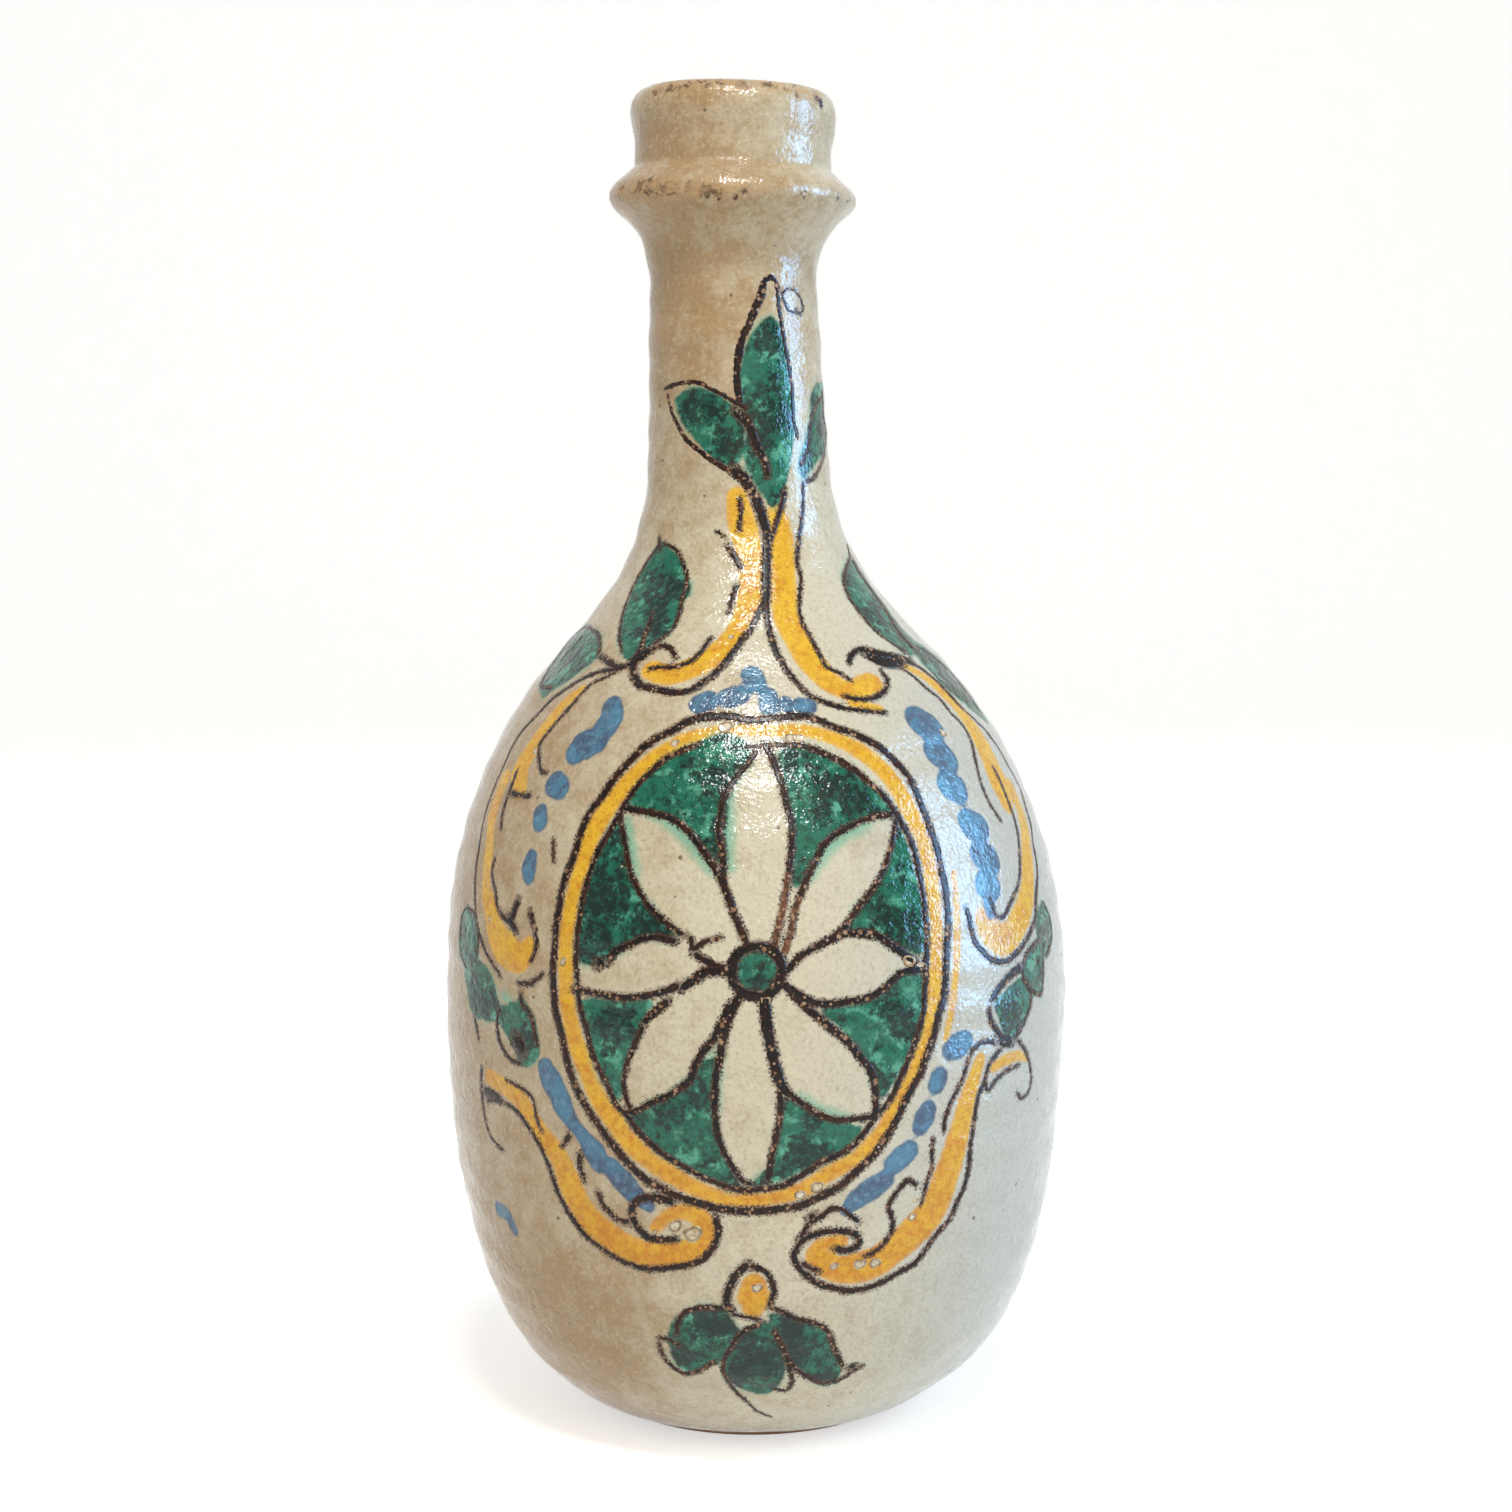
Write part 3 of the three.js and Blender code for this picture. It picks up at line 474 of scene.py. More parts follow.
def angle(name, description, degrees):
    """An angle, given in degrees and kept in radians."""
    return bpy.props.FloatProperty(
        name=name, description=description, default=math.radians(degrees), subtype="ANGLE")


def number(name, description, value):
    """A plain number."""
    return bpy.props.FloatProperty(name=name, description=description, default=value)


def swatch(name, description, *channels):
    """A colour, given as 0 to 255 a channel."""
    return bpy.props.FloatVectorProperty(
        name=name, description=description, subtype="COLOR", size=4, default=paint(*channels), min=0, max=1)


class BottleBuild(bpy.types.PropertyGroup):
    """How finely the turned shapes are made, and how uneven the potter's hand left them."""

    painted_step: length("Painted Step", "Distance between the rows of the outer glaze", 0.95, min=0.3 * MM)
    hidden_step: length("Hidden Step", "Distance between rows where a wall isn't seen", 5, min=1 * MM)
    clay_step: length("Clay Step", "Distance between the rows of the clay pieces", 2, min=0.5 * MM)
    front_reach: angle("Front Reach", "How far round from the middle of the front the fine columns go", 66)
    front_turn: angle("Front Turn", "Angle between two fine columns", 0.75)
    back_turn: angle("Back Turn", "Angle between two columns at the back", 3.2)
    plain_turn: angle("Plain Turn", "Angle between two columns of an unpainted piece", 3)
    sharp_turn: angle("Sharp Corner", "An outline that turns more than this keeps its corner", 38)
    throwing_depth: length("Throwing Rings", "Height of the rings that the potter's fingers left", 0.11)
    throwing_pitch: length("Ring Pitch", "Distance between two throwing rings", 8.5)
    dent_depth: length("Unevenness", "Height of the slow dents in the wall", 0.2)
    glaze_edge_wander: length(
        "Glaze Edge Wander", "How far the lower edge of the glaze runs up and down", 0.7)
    seed: bpy.props.IntProperty(name="Seed", description="Start of every random draw", default=11)


class BottleBrush(bpy.types.PropertyGroup):
    """The painter's brush."""

    step: length("Step", "Distance between two sections along a brush line", 0.27, min=0.1 * MM)
    relief: length("Relief", "How far a loaded line stands above the glaze", 0.06)
    embed: length("Embed", "How far a line sinks into the glaze", 0.12)
    ragged: length("Ragged Edge", "How far an edge strays from a clean line", 0.3)
    grain: length("Grain", "Size of the crumbs along an edge", 0.7)
    spread: number("Spread", "How much wider a line melts than the brush drew it", 0.95)
    sides: bpy.props.IntProperty(name="Sides", description="Corners of a line's section", default=10, min=6)
    reach: length("Colour Reach", "Distance over which a colour's edge is known", 4)


class BottleColours(bpy.types.PropertyGroup):
    """The glaze, the metal oxides painted in it and the clay."""

    glaze: swatch("Glaze", "Tin glaze where it lies thick", 220, 211, 184)
    # This colour also stands for the painted shade on the left side and the lower left of the glaze.
    warm_glaze_and_shade: swatch("Warm Glaze", "Tin glaze where the clay shows through", 180, 150, 108)
    green: swatch("Green", "Copper green at its usual depth", 26, 112, 88)
    deep_green: swatch("Deep Green", "Copper green where it pooled", 10, 44, 35)
    green_spill: swatch("Green Spill", "Green that ran into the glaze", 128, 190, 160)
    yellow: swatch("Yellow", "Antimony yellow", 244, 196, 44)
    deep_yellow: swatch("Deep Yellow", "Antimony yellow where it lies thick", 216, 138, 8)
    blue: swatch("Blue", "Cobalt blue, thinned", 46, 126, 166)
    deep_blue: swatch("Deep Blue", "Cobalt blue at the end of a dab", 22, 74, 116)
    thin_line: swatch("Thin Line", "Manganese brown where the brush ran dry", 84, 46, 26)
    thick_line: swatch("Thick Line", "Manganese where it lies thick", 14, 10, 9)
    line_bubble: swatch("Line Bubble", "Small bubbles along a line", 186, 152, 120)
    clay: swatch("Clay", "Bare fired clay", 182, 146, 108)
    dirty_clay: swatch("Dirty Clay", "Clay rubbed dark by use", 66, 48, 36)


class BottleStage(bpy.types.PropertyGroup):
    """The camera, the lamps and the world."""

    camera_back: length("Camera Distance", "From the bottle's axis to the camera", 567)
    camera_height: length("Camera Height", "Above the floor", 185.5)
    camera_down: angle("Camera Pitch", "How far the camera looks down", 5.39)
    camera_lens: number("Lens", "Focal length in millimetres on a 36 mm sensor", 67.11)
    window_power: number("Window Power", "The cool window on the right, in watts", 4.0)
    glint_power: number("Window Glints", "The window as the glaze mirrors it, in watts", 22.0)
    above_power: number("Overhead Glints", "The overhead window as the glaze mirrors it, in watts", 14.0)
    sky_power: number("Skylight Power", "The soft light overhead, in watts", 8.5)
    warm_power: number("Warm Power", "The warm light of the room in front, in watts", 4.7)
    world_strength: number("World Strength", "Light from all round", 0.36)


def settings(group):
    """One of the property groups kept on the scene."""
    return getattr(bpy.context.scene, "bottle_" + group)


def smoothstep(value, low, high):
    """0 below low, 1 above high, and smooth between."""
    share = np.clip((value - low) / (high - low), 0, 1)
    return share * share * (3 - 2 * share)


# Meshes

WELD_DISTANCE = 0.01 * MM


def welded(mesh, distance=WELD_DISTANCE):
    """A bmesh of the mesh with the points joined that lie together."""
    joined = bmesh.new()
    joined.from_mesh(mesh)
    bmesh.ops.remove_doubles(joined, verts=joined.verts, dist=distance)
    return joined


def search_tree(mesh):
    """A tree that finds where a ray meets the mesh."""
    return BVHTree.FromPolygons([v.co[:] for v in mesh.vertices], [p.vertices[:] for p in mesh.polygons])


def keep_values(mesh, name, values):
    """Keeps a number for each point of the mesh, under a name that a material or a tree reads."""
    mesh.attributes.new(name, "FLOAT", "POINT").data.foreach_set("value", values)


def place_object(name, data):
    """Puts a mesh, a lamp or a camera in the scene."""
    placed = bpy.data.objects.new(name, data)
    bpy.context.collection.objects.link(placed)
    return placed


def add_piece(name, mesh, material):
    """Puts a finished mesh in the scene as a piece of the bottle."""
    piece = place_object(name, mesh)
    mesh.materials.clear()
    mesh.materials.append(material)
    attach(piece, BODY)
    return piece


# Turned shapes, read from the CAD nodes

POLE_REACH = 2 * MM


def node_outline(node, side):
    """A turned CAD node's outline on one side of its axis, in the plane y = 0, in order.

    side is 1 for +x and -1 for -x. A closed outline starts at its lowest, outermost corner and goes up
    the outside. One that meets the axis goes from its lower pole to its upper pole.
    """
    mesh = welded(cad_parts[node].data)
    corners = {v for v in mesh.verts if abs(v.co.y) < WELD_DISTANCE and side * v.co.x > -POLE_REACH}

    def neighbours(corner):
        others = [edge.other_vert(corner) for edge in corner.link_edges]
        return [other for other in others if other in corners]

    poles = [corner for corner in corners if len(neighbours(corner)) == 1]
    if poles:
        current = min(poles, key=lambda corner: corner.co.z)
    else:
        lowest = min(corner.co.z for corner in corners)
        row = [corner for corner in corners if corner.co.z < lowest + WELD_DISTANCE]
        current = max(row, key=lambda corner: side * corner.co.x)
    outline = [current]
    while True:
        onward = [corner for corner in neighbours(current) if corner not in outline]
        if not onward:
            break
        current = max(onward, key=lambda corner: side * corner.co.x) if len(outline) == 1 else onward[0]
        outline.append(current)
    points = np.array([corner.co[:] for corner in outline])
    mesh.free()
    return points, not poles


def node_rings(node):
    """The level rings of a turned node, one a row: its centre (x, y, z) and its half width (x, y, z)."""
    right, closed = node_outline(node, 1)
    left, _ = node_outline(node, -1)
    if len(right) != len(left):
        raise RuntimeError(f"{node} isn't turned: its outline has {len(right)} and {len(left)} corners")
    return np.hstack([(right + left) / 2, (right - left) / 2]), closed


def refined(rings, closed, steps):
    """More rings on a smooth curve through the given ones, with sharp corners kept.

    steps holds the wanted distance between rings for each stretch from one given ring to the next.
    """
    count = len(rings)
    last = count if closed else count - 1
    ahead = [(i + 1) % count for i in range(count)]
    chord = np.array([np.linalg.norm(rings[ahead[i]] - rings[i]) for i in range(count)])
    slope = np.array([(rings[ahead[i]] - rings[i]) / max(chord[i], 1e-9) for i in range(count)])
    least_bend = math.cos(settings("build").sharp_turn)

    def tangent(before, after, own, at_end):
        """The curve's direction at the corner between two stretches, as seen from its own stretch."""
        if at_end or np.dot(slope[before], slope[after]) < least_bend:
            return slope[own]
        weight = chord[after] / (chord[before] + chord[after])
        return slope[before] * weight + slope[after] * (1 - weight)

    result = []
    for i in range(last):
        j = ahead[i]
        start = tangent(i - 1, i, i, not closed and i == 0)
        end = tangent(i, j, i, not closed and j == count - 1)
        pieces = max(1, round(chord[i] / steps[i]))
        for t in np.arange(pieces) / pieces:
            cubic = 2 * t ** 3 - 3 * t ** 2
            place = (1 + cubic) * rings[i] - cubic * rings[j]
            result.append(place + chord[i] * ((t ** 3 - 2 * t ** 2 + t) * start + (t ** 3 - t ** 2) * end))
    if not closed:
        result.append(rings[-1])
    result = np.array(result)
    result[:, 2] = np.clip(result[:, 2], rings[:, 2].min(), rings[:, 2].max())
    return result


def turned_grid(rings, angles):
    """The points of the rings at the given angles, as rows, columns and x, y, z."""
    centre, half = rings[:, None, :3], rings[:, None, 3:]
    sideways = np.zeros_like(half)
    sideways[..., 1] = half[..., 0]
    turn = angles[None, :, None]
    return centre + half * np.cos(turn) + sideways * np.sin(turn)


def wall_mesh(name, grid, closed):
    """A closed mesh over a grid of turned points. Faces point outwards."""
    rows, columns = grid.shape[:2]
    row = np.arange(rows if closed else rows - 1)[:, None]
    column = np.arange(columns)[None, :]
    above, beside = (row + 1) % rows, (column + 1) % columns
    corners = [row * columns + column, row * columns + beside, above * columns + beside,
               above * columns + column]
    faces = np.stack([np.broadcast_to(corner, (len(row), columns)) for corner in corners], axis=-1)
    mesh = bpy.data.meshes.new(name)
    mesh.from_pydata(grid.reshape(-1, 3).tolist(), [], faces.reshape(-1, 4).tolist())
    if not closed:
        joined = welded(mesh)
        joined.to_mesh(mesh)
        joined.free()
    mesh.shade_smooth()
    return mesh


def turned_piece(node, name, material):
    """A piece turned to a CAD node's own outline. It stands for that node."""
    build = settings("build")
    rings, closed = node_rings(node)
    fine = refined(rings, closed, np.full(len(rings), build.clay_step))
    count = round(2 * math.pi / build.plain_turn)
    angles = np.arange(count) * 2 * math.pi / count - math.pi / 2
    mesh = wall_mesh(name, turned_grid(fine, angles), closed)
    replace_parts(add_piece(name, mesh, material), node)


def painted_angles(build):
    """Angles all round, close together over the painted front and wide apart at the back."""
    fine = round(2 * build.front_reach / build.front_turn)
    front = np.linspace(-build.front_reach, build.front_reach, fine + 1)
    wide = round((2 * math.pi - 2 * build.front_reach) / build.back_turn)
    back = np.linspace(build.front_reach, 2 * math.pi - build.front_reach, wide + 1)[1:-1]
    return np.concatenate([front, back]) - math.pi / 2


def waves(points, lengths, count):
    """Smooth noise of about unit height: crossed waves of random direction and the given lengths."""
    draw = np.random.default_rng(settings("build").seed)
    total = np.zeros(points.shape[:-1])
    for _ in range(count):
        direction = draw.normal(size=3)
        direction /= np.linalg.norm(direction)
        pitch = 2 * math.pi / draw.uniform(*lengths)
        total += np.cos(points @ direction * pitch + draw.uniform(0, 2 * math.pi))
    return total / math.sqrt(count / 2)


# Between the photo and the bottle's surface

MIDDLE = PHOTO_SIDE / 2
RAY_STEP_INWARD = 2.0
RAY_TRIES = 12


def photo_axes():
    """The camera's place, and its right, up and forward directions."""
    stage = settings("stage")
    place = np.array([0, -stage.camera_back, stage.camera_height])
    level, drop = math.cos(stage.camera_down), math.sin(stage.camera_down)
    return place, np.array([1, 0, 0]), np.array([0, drop, level]), np.array([0, level, -drop])


def focal_pixels():
    """The focal length in photo pixels."""
    return settings("stage").camera_lens / SENSOR_WIDTH * PHOTO_SIDE


def to_photo(points):
    """Where points of the bottle fall in the photo, in pixels."""
    place, right, up, forward = photo_axes()
    away = points - place
    scale = focal_pixels() / (away @ forward)
    return MIDDLE + scale * (away @ right), MIDDLE - scale * (away @ up)


def from_photo(skin, x, y):
    """The point of the skin that a photo pixel shows. Past the edge, the nearest pixel on it counts."""
    place, right, up, forward = photo_axes()
    for _ in range(RAY_TRIES):
        ray = forward * focal_pixels() + right * (x - MIDDLE) + up * (MIDDLE - y)
        hit = skin.ray_cast(Vector(place), Vector(ray).normalized())[0]
        if hit is not None:
            return np.array(hit[:])
        x += math.copysign(RAY_STEP_INWARD, MIDDLE - x)
    raise RuntimeError(f"photo pixel {x}, {y} isn't on the bottle")


def curve_through(points, step):
    """Points close together on a smooth curve that passes through the given ones."""
    points = np.array(points, dtype=float)
    ends = np.vstack([2 * points[0] - points[1], points, 2 * points[-1] - points[-2]])
    result = []
    for i in range(1, len(ends) - 2):
        before, here, ahead, beyond = ends[i - 1:i + 3]
        square = 2 * before - 5 * here + 4 * ahead - beyond
        cube = 3 * (here - ahead) + beyond - before
        pieces = max(1, math.ceil(np.linalg.norm((ahead - here)[:2]) / step))
        for t in np.arange(pieces) / pieces:
            result.append(here + 0.5 * t * (ahead - before + t * (square + t * cube)))
    result.append(points[-1])
    return np.array(result)


def inside_outline(x, y, outline):
    """Whether pixels lie inside a closed outline, by counting the sides that a level line crosses."""
    inside = np.zeros(len(x), dtype=bool)
    for (x0, y0), (x1, y1) in zip(outline, np.roll(outline, -1, axis=0)):
        if y0 == y1:
            continue
        crosses = (y0 > y) != (y1 > y)
        inside ^= crosses & (x < x0 + (y - y0) * (x1 - x0) / (y1 - y0))
    return inside


BAND_STEP_PIXELS = 2.0
AREA_STEP_PIXELS = 3.0


class Canvas:
    """The part of the outer glaze that faces the painter, and how far each point is from a colour."""

    def __init__(self, mesh, skin, painted):
        self.mesh, self.skin = mesh, skin
        points, normals = np.empty(len(mesh.vertices) * 3), np.empty(len(mesh.vertices) * 3)
        mesh.vertices.foreach_get("co", points)
        mesh.vertex_normals.foreach_get("vector", normals)
        points, normals = points.reshape(-1, 3), normals.reshape(-1, 3)
        facing = np.einsum("ij,ij->i", normals, photo_axes()[0] - points) > 0
        self.index = np.flatnonzero(facing & painted)
        self.points = points[self.index]
        self.x, self.y = to_photo(self.points)
        self.reach = settings("brush").reach

    def to_marks(self, pixels):
        """Each point's distance to the nearest mark that these pixels show, and that mark's number."""
        marks = np.array([from_photo(self.skin, *pixel[:2]) for pixel in pixels])
        tree = KDTree(len(marks))
        for i, mark in enumerate(marks):
            tree.insert(mark, i)
        tree.balance()
        near = self.reach * 2
        low = np.min(marks, axis=0) - near
        high = np.max(marks, axis=0) + near
        beside = np.flatnonzero(np.all((self.points > low) & (self.points < high), axis=1))
        distance = np.full(len(self.points), near)
        nearest = np.zeros(len(self.points), dtype=int)
        for i in beside:
            _, nearest[i], distance[i] = tree.find(self.points[i])
        return distance, nearest

    def bands(self, name, strokes):
        """Keeps the signed distance to the edge of the nearest brush band, negative under it."""
        nearest = np.full(len(self.points), self.reach)
        for stroke in strokes:
            centre = curve_through(stroke, BAND_STEP_PIXELS)
            distance, mark = self.to_marks(centre)
            nearest = np.minimum(nearest, distance - centre[mark, 2] * MM / 2)
        self.store(name, nearest)

    def areas(self, name, outlines):
        """Keeps the signed distance to the edge of the nearest outlined area, negative inside it."""
        nearest = np.full(len(self.points), self.reach)
        for outline in outlines:
            edge = curve_through([*outline, outline[0]], AREA_STEP_PIXELS)
            distance, _ = self.to_marks(edge)
            inside = inside_outline(self.x, self.y, edge)
            nearest = np.minimum(nearest, np.where(inside, -distance, distance))
        self.store(name, nearest)

    def store(self, name, values):
        """Keeps values on the mesh, in millimetres, as far out as a colour reaches."""
        everywhere = np.full(len(self.mesh.vertices), self.reach)
        everywhere[self.index] = np.clip(values, -self.reach, self.reach)
        keep_values(self.mesh, name, everywhere / MM)


# Node trees

class Nodes:
    """Adds nodes to a node tree."""

    def __init__(self, tree):
        self.tree = tree
        tree.nodes.clear()

    def add(self, kind, inputs=(), **options):
        """Adds a node, sets its options, and feeds its inputs by name or number."""
        node = self.tree.nodes.new(kind)
        for option, value in options.items():
            setattr(node, option, value)
        for socket, value in dict(inputs).items():
            if isinstance(value, bpy.types.NodeSocket):
                self.tree.links.new(value, node.inputs[socket])
            else:
                node.inputs[socket].default_value = value
        return node

    def out(self, kind, inputs=(), **options):
        """The first output of a new node."""
        return self.add(kind, inputs, **options).outputs[0]

    def math(self, operation, first, second=0.0, clamp=False):
        return self.out("ShaderNodeMath", {0: first, 1: second}, operation=operation, use_clamp=clamp)

    def plus(self, first, second, clamp=False):
        return self.math("ADD", first, second, clamp)

    def minus(self, first, second):
        return self.math("SUBTRACT", first, second)

    def times(self, first, second):
        return self.math("MULTIPLY", first, second)

    def larger(self, first, second):
        return self.math("MAXIMUM", first, second)

    def parts(self, vector):
        """The x, y and z of a vector."""
        return self.add("ShaderNodeSeparateXYZ", {0: vector}).outputs

    def bend(self, value, low, high, to_low=0.0, to_high=1.0):
        """A smooth change from to_low to to_high while value goes from low to high."""
        numbers = dict(enumerate((value, low, high, to_low, to_high)))
        return self.out("ShaderNodeMapRange", numbers, interpolation_type="SMOOTHSTEP")


# Materials. Sizes of noise, cells and bumps are in millimetres, and so are the distances that the
# outer glaze keeps for each colour: negative where the colour lies, positive beside it. In each
# function s is the material that it builds.

class Shading(Nodes):
    """Builds one material's nodes."""

    def __init__(self, name):
        self.material = bpy.data.materials.new(name)
        self.material.use_nodes = True
        super().__init__(self.material.node_tree)
        self.place = self.add("ShaderNodeTexCoord").outputs["Object"]

    def noise(self, size, detail=2.0, roughness=0.5, distortion=0.0):
        """Noise with grains of the given size."""
        return self.out("ShaderNodeTexNoise", {
            "Vector": self.place, "Scale": 1 / (size * MM), "Detail": detail, "Roughness": roughness,
            "Distortion": distortion})

    def cells(self, size):
        """Cells of the given size: the distance from each one's middle, and its own colour."""
        node = self.add("ShaderNodeTexVoronoi", {"Vector": self.place, "Scale": 1 / (size * MM)})
        return node.outputs["Distance"], node.outputs["Color"]

    def mix(self, share, first, second):
        """The first colour with a share of the second over it."""
        return self.add("ShaderNodeMix", {0: share, 6: first, 7: second}, data_type="RGBA").outputs[2]

    def attribute(self, name):
        return self.add("ShaderNodeAttribute", attribute_name=name).outputs["Fac"]

    def bump(self, height, distance, strength, **under):
        """Lifts the surface by height times distance. Normal is the bump that this one lies on."""
        return self.out("ShaderNodeBump", {
            "Height": height, "Distance": distance * MM, "Strength": strength, **under})

    def shader(self, inputs):
        """Ends the material with a shader that has these inputs."""
        self.add("ShaderNodeOutputMaterial", {0: self.out("ShaderNodeBsdfPrincipled", inputs)})
        return self.material

    def finish(self, colour, roughness, normal, specular):
        """Ends the material of a piece of the bottle."""
        return self.shader({"Base Color": colour, "Roughness": roughness, "Normal": normal,
                            "Specular IOR Level": specular})


def glaze_ground(s, colours):
    """The colour of the bare tin glaze: warm where it is thin, mottled, with iron specks, painted shade on
    the left and lower left, painted cool light on the right, and darker up the neck.
    """
    x, _, z = s.parts(s.place)
    slow, cloud = s.noise(38, 3, 0.55), s.noise(8, 5, 0.62)
    small, grain = s.noise(3.2, 3, 0.6), s.noise(0.8, 3, 0.65)
    # Painted shade: the left side, and more so its lower part, is mixed towards the warm, darker glaze. The
    # neck also darkens and warms up towards the ring.
    left = s.bend(x, 12 * MM, -50 * MM, 0.0, 0.85)
    low = s.times(s.bend(z, 80 * MM, 10 * MM, 0.0, 0.45), s.bend(x, 20 * MM, -40 * MM))
    ends = s.plus(low, s.bend(z, 162 * MM, 222 * MM, 0.0, 0.65))
    # thin holds both the glaze's real thin places, from the noises below, and the painted shade above.
    thin = s.minus(s.plus(left, ends), 0.12)
    thin = s.plus(thin, s.bend(slow, 0.35, 0.7, -0.15, 0.22))
    thin = s.plus(thin, s.bend(cloud, 0.32, 0.68, -0.16, 0.18))
    thin = s.plus(thin, s.bend(small, 0.35, 0.7, -0.12, 0.16), clamp=True)
    colour = s.mix(thin, colours.glaze, colours.warm_glaze_and_shade)
    # Painted cool light and shade: the right side is mixed towards a cool grey.
    colour = s.mix(s.bend(x, 5 * MM, 55 * MM, 0.0, 0.65), colour, paint(186, 194, 196))
    blotch = s.times(s.bend(cloud, 0.5, 0.85, 0.0, 0.4), s.plus(ends, 0.1))
    colour = s.mix(blotch, colour, paint(158, 132, 98))
    colour = s.mix(s.bend(grain, 0.48, 0.74, 0.0, 0.32), colour, paint(140, 120, 90))
    colour = s.mix(s.bend(grain, 0.44, 0.3, 0.0, 0.3), colour, paint(236, 230, 208))
    distance, own = s.cells(4.6)
    speck = s.math("LESS_THAN", distance, s.bend(s.parts(own)[0], 0.55, 1.0, 0.0, 0.095))
    return s.mix(s.times(speck, 0.75), colour, paint(84, 66, 46))


def plain_glaze_material(colours):
    """The glaze poured inside, with no brush painting on it, but with the ground's painted shade and cool
    light.
    """
    s = Shading("plain_tin_glaze")
    colour = glaze_ground(s, colours)
    roughness = s.bend(s.noise(5), 0.3, 0.7, 0.16, 0.3)
    return s.finish(colour, roughness, s.bump(s.noise(3.2), 0.12, 0.6), 0.5)


def painted_glaze_material(colours):
    """The outer glaze with the oxides that melted into it, its stained chips and its rubbed lip and ring."""
    s = Shading("painted_tin_glaze")
    colour = glaze_ground(s, colours)
    stray = s.minus(s.noise(1.5, 3, 0.65), 0.5)
    fine = s.minus(s.noise(0.5, 2, 0.6), 0.5)
    wander = s.plus(s.times(stray, 1.1), s.times(fine, 0.7))
    patch, clot, crumb = s.noise(5.5, 4, 0.62, 0.4), s.noise(1.3, 3, 0.7), s.noise(0.42, 2, 0.7)
    height = s.parts(s.place)[2]

    def edge(name, share):
        """The distance outside a colour's edge, with a share of the wander in it."""
        return s.plus(s.attribute(name), s.times(wander, share))

    yellow = edge("yellow", 0.7)
    depth = s.plus(s.bend(clot, 0.38, 0.7, 0.0, 0.6), s.bend(patch, 0.4, 0.75, 0.0, 0.5))
    # The yellow also deepens towards the bottom of the bottle.
    depth = s.plus(depth, s.bend(height, 85 * MM, 45 * MM, 0.0, 0.35), clamp=True)
    orange = s.mix(depth, colours.yellow, colours.deep_yellow)
    orange = s.mix(s.bend(crumb, 0.55, 0.72, 0.0, 0.75), orange, paint(190, 104, 20))
    cover = s.times(s.bend(yellow, 0.62, 0.0), s.bend(yellow, 0.6, -1.0, 0.8, 0.98))
    colour = s.mix(cover, colour, orange)

    blue = edge("blue", 0.6)
    dab = s.mix(s.bend(patch, 0.42, 0.6), colours.blue, colours.deep_blue)
    dab = s.mix(s.bend(clot, 0.48, 0.7, 0.0, 0.5), dab, paint(116, 170, 196))
    dab = s.mix(s.times(s.bend(blue, -1.0, -0.1), 0.5), dab, colours.deep_blue)
    colour = s.mix(s.times(s.bend(blue, 0.35, -0.3), 0.9), colour, dab)

    spill, green = edge("spill", 1.2), edge("green", 0.9)
    halo = s.times(s.bend(green, 2.2, 0.2), s.bend(s.noise(7), 0.42, 0.66, 0.0, 0.6))
    halo = s.larger(halo, s.bend(spill, 0.9, -1.4, 0.0, 0.85))
    colour = s.mix(halo, colour, colours.green_spill)
    pool = s.plus(s.bend(s.noise(7, 3, 0.55), 0.4, 0.58, -0.2, 0.8), s.bend(clot, 0.4, 0.6, -0.3, 0.55))
    # The green also darkens towards the bottom of the bottle.
    pool = s.plus(s.bend(height, 55 * MM, 35 * MM, 0.0, 0.4), pool)
    pool = s.plus(s.bend(green, 0.3, -2.4, -0.25, 0.15), pool, clamp=True)
    leaf = s.mix(pool, colours.green, colours.deep_green)
    light = s.bend(s.noise(3.4, 5, 0.66), 0.5, 0.66, 0.0, 0.75)
    leaf = s.mix(s.times(light, s.bend(pool, 0.9, 0.3, 0.1, 1.0)), leaf, paint(104, 188, 158))
    leaf = s.mix(s.bend(crumb, 0.6, 0.8, 0.0, 0.35), leaf, paint(8, 34, 28))
    colour = s.mix(s.bend(green, 0.95, 0.1), colour, leaf)

    stain = s.bend(edge("line", 0.9), 0.55, -0.1)
    colour = s.mix(s.times(stain, 0.7), colour, colours.thin_line)
    grit, near = s.bend(s.cells(0.55)[0], 0.44, 0.3), s.bend(s.attribute("line"), 0.8, 0.15)
    colour = s.mix(s.times(grit, near), colour, colours.thick_line)

    worn = s.bend(edge("worn", 1.6), 0.12, -0.12)
    colour = s.mix(worn, colour, s.mix(s.bend(clot, 0.4, 0.5), colours.clay, colours.dirty_clay))
    rubbed = s.attribute("rubbed")
    shine = s.times(s.bend(rubbed, 0.25, 0.7), s.bend(s.noise(3.6, 5, 0.72), 0.34, 0.62, 0.2, 0.85))
    colour = s.mix(shine, colour, paint(198, 164, 120))
    scuff = s.times(s.bend(rubbed, 0.45, 0.85), s.bend(s.noise(1.7, 5, 0.7, 0.5), 0.54, 0.62))
    colour = s.mix(s.times(scuff, 0.85), colour, colours.dirty_clay)

    normal = s.bump(s.noise(2.2, 3, 0.6), 0.42, 0.8)
    normal = s.bump(s.noise(0.9, 2, 0.6), 0.2, 0.8, Normal=normal)
    normal = s.bump(crumb, 0.015, 0.7, Normal=normal)
    normal = s.bump(s.bend(s.cells(1.7)[0], 0.0, 0.16), 0.04, 0.6, Normal=normal)
    roughness = s.bend(s.noise(4, 3), 0.3, 0.7, 0.04, 0.14)
    roughness = s.plus(roughness, s.times(worn, 0.5), clamp=True)
    roughness = s.plus(roughness, s.times(shine, 0.15), clamp=True)
    return s.finish(colour, roughness, normal, 0.4)


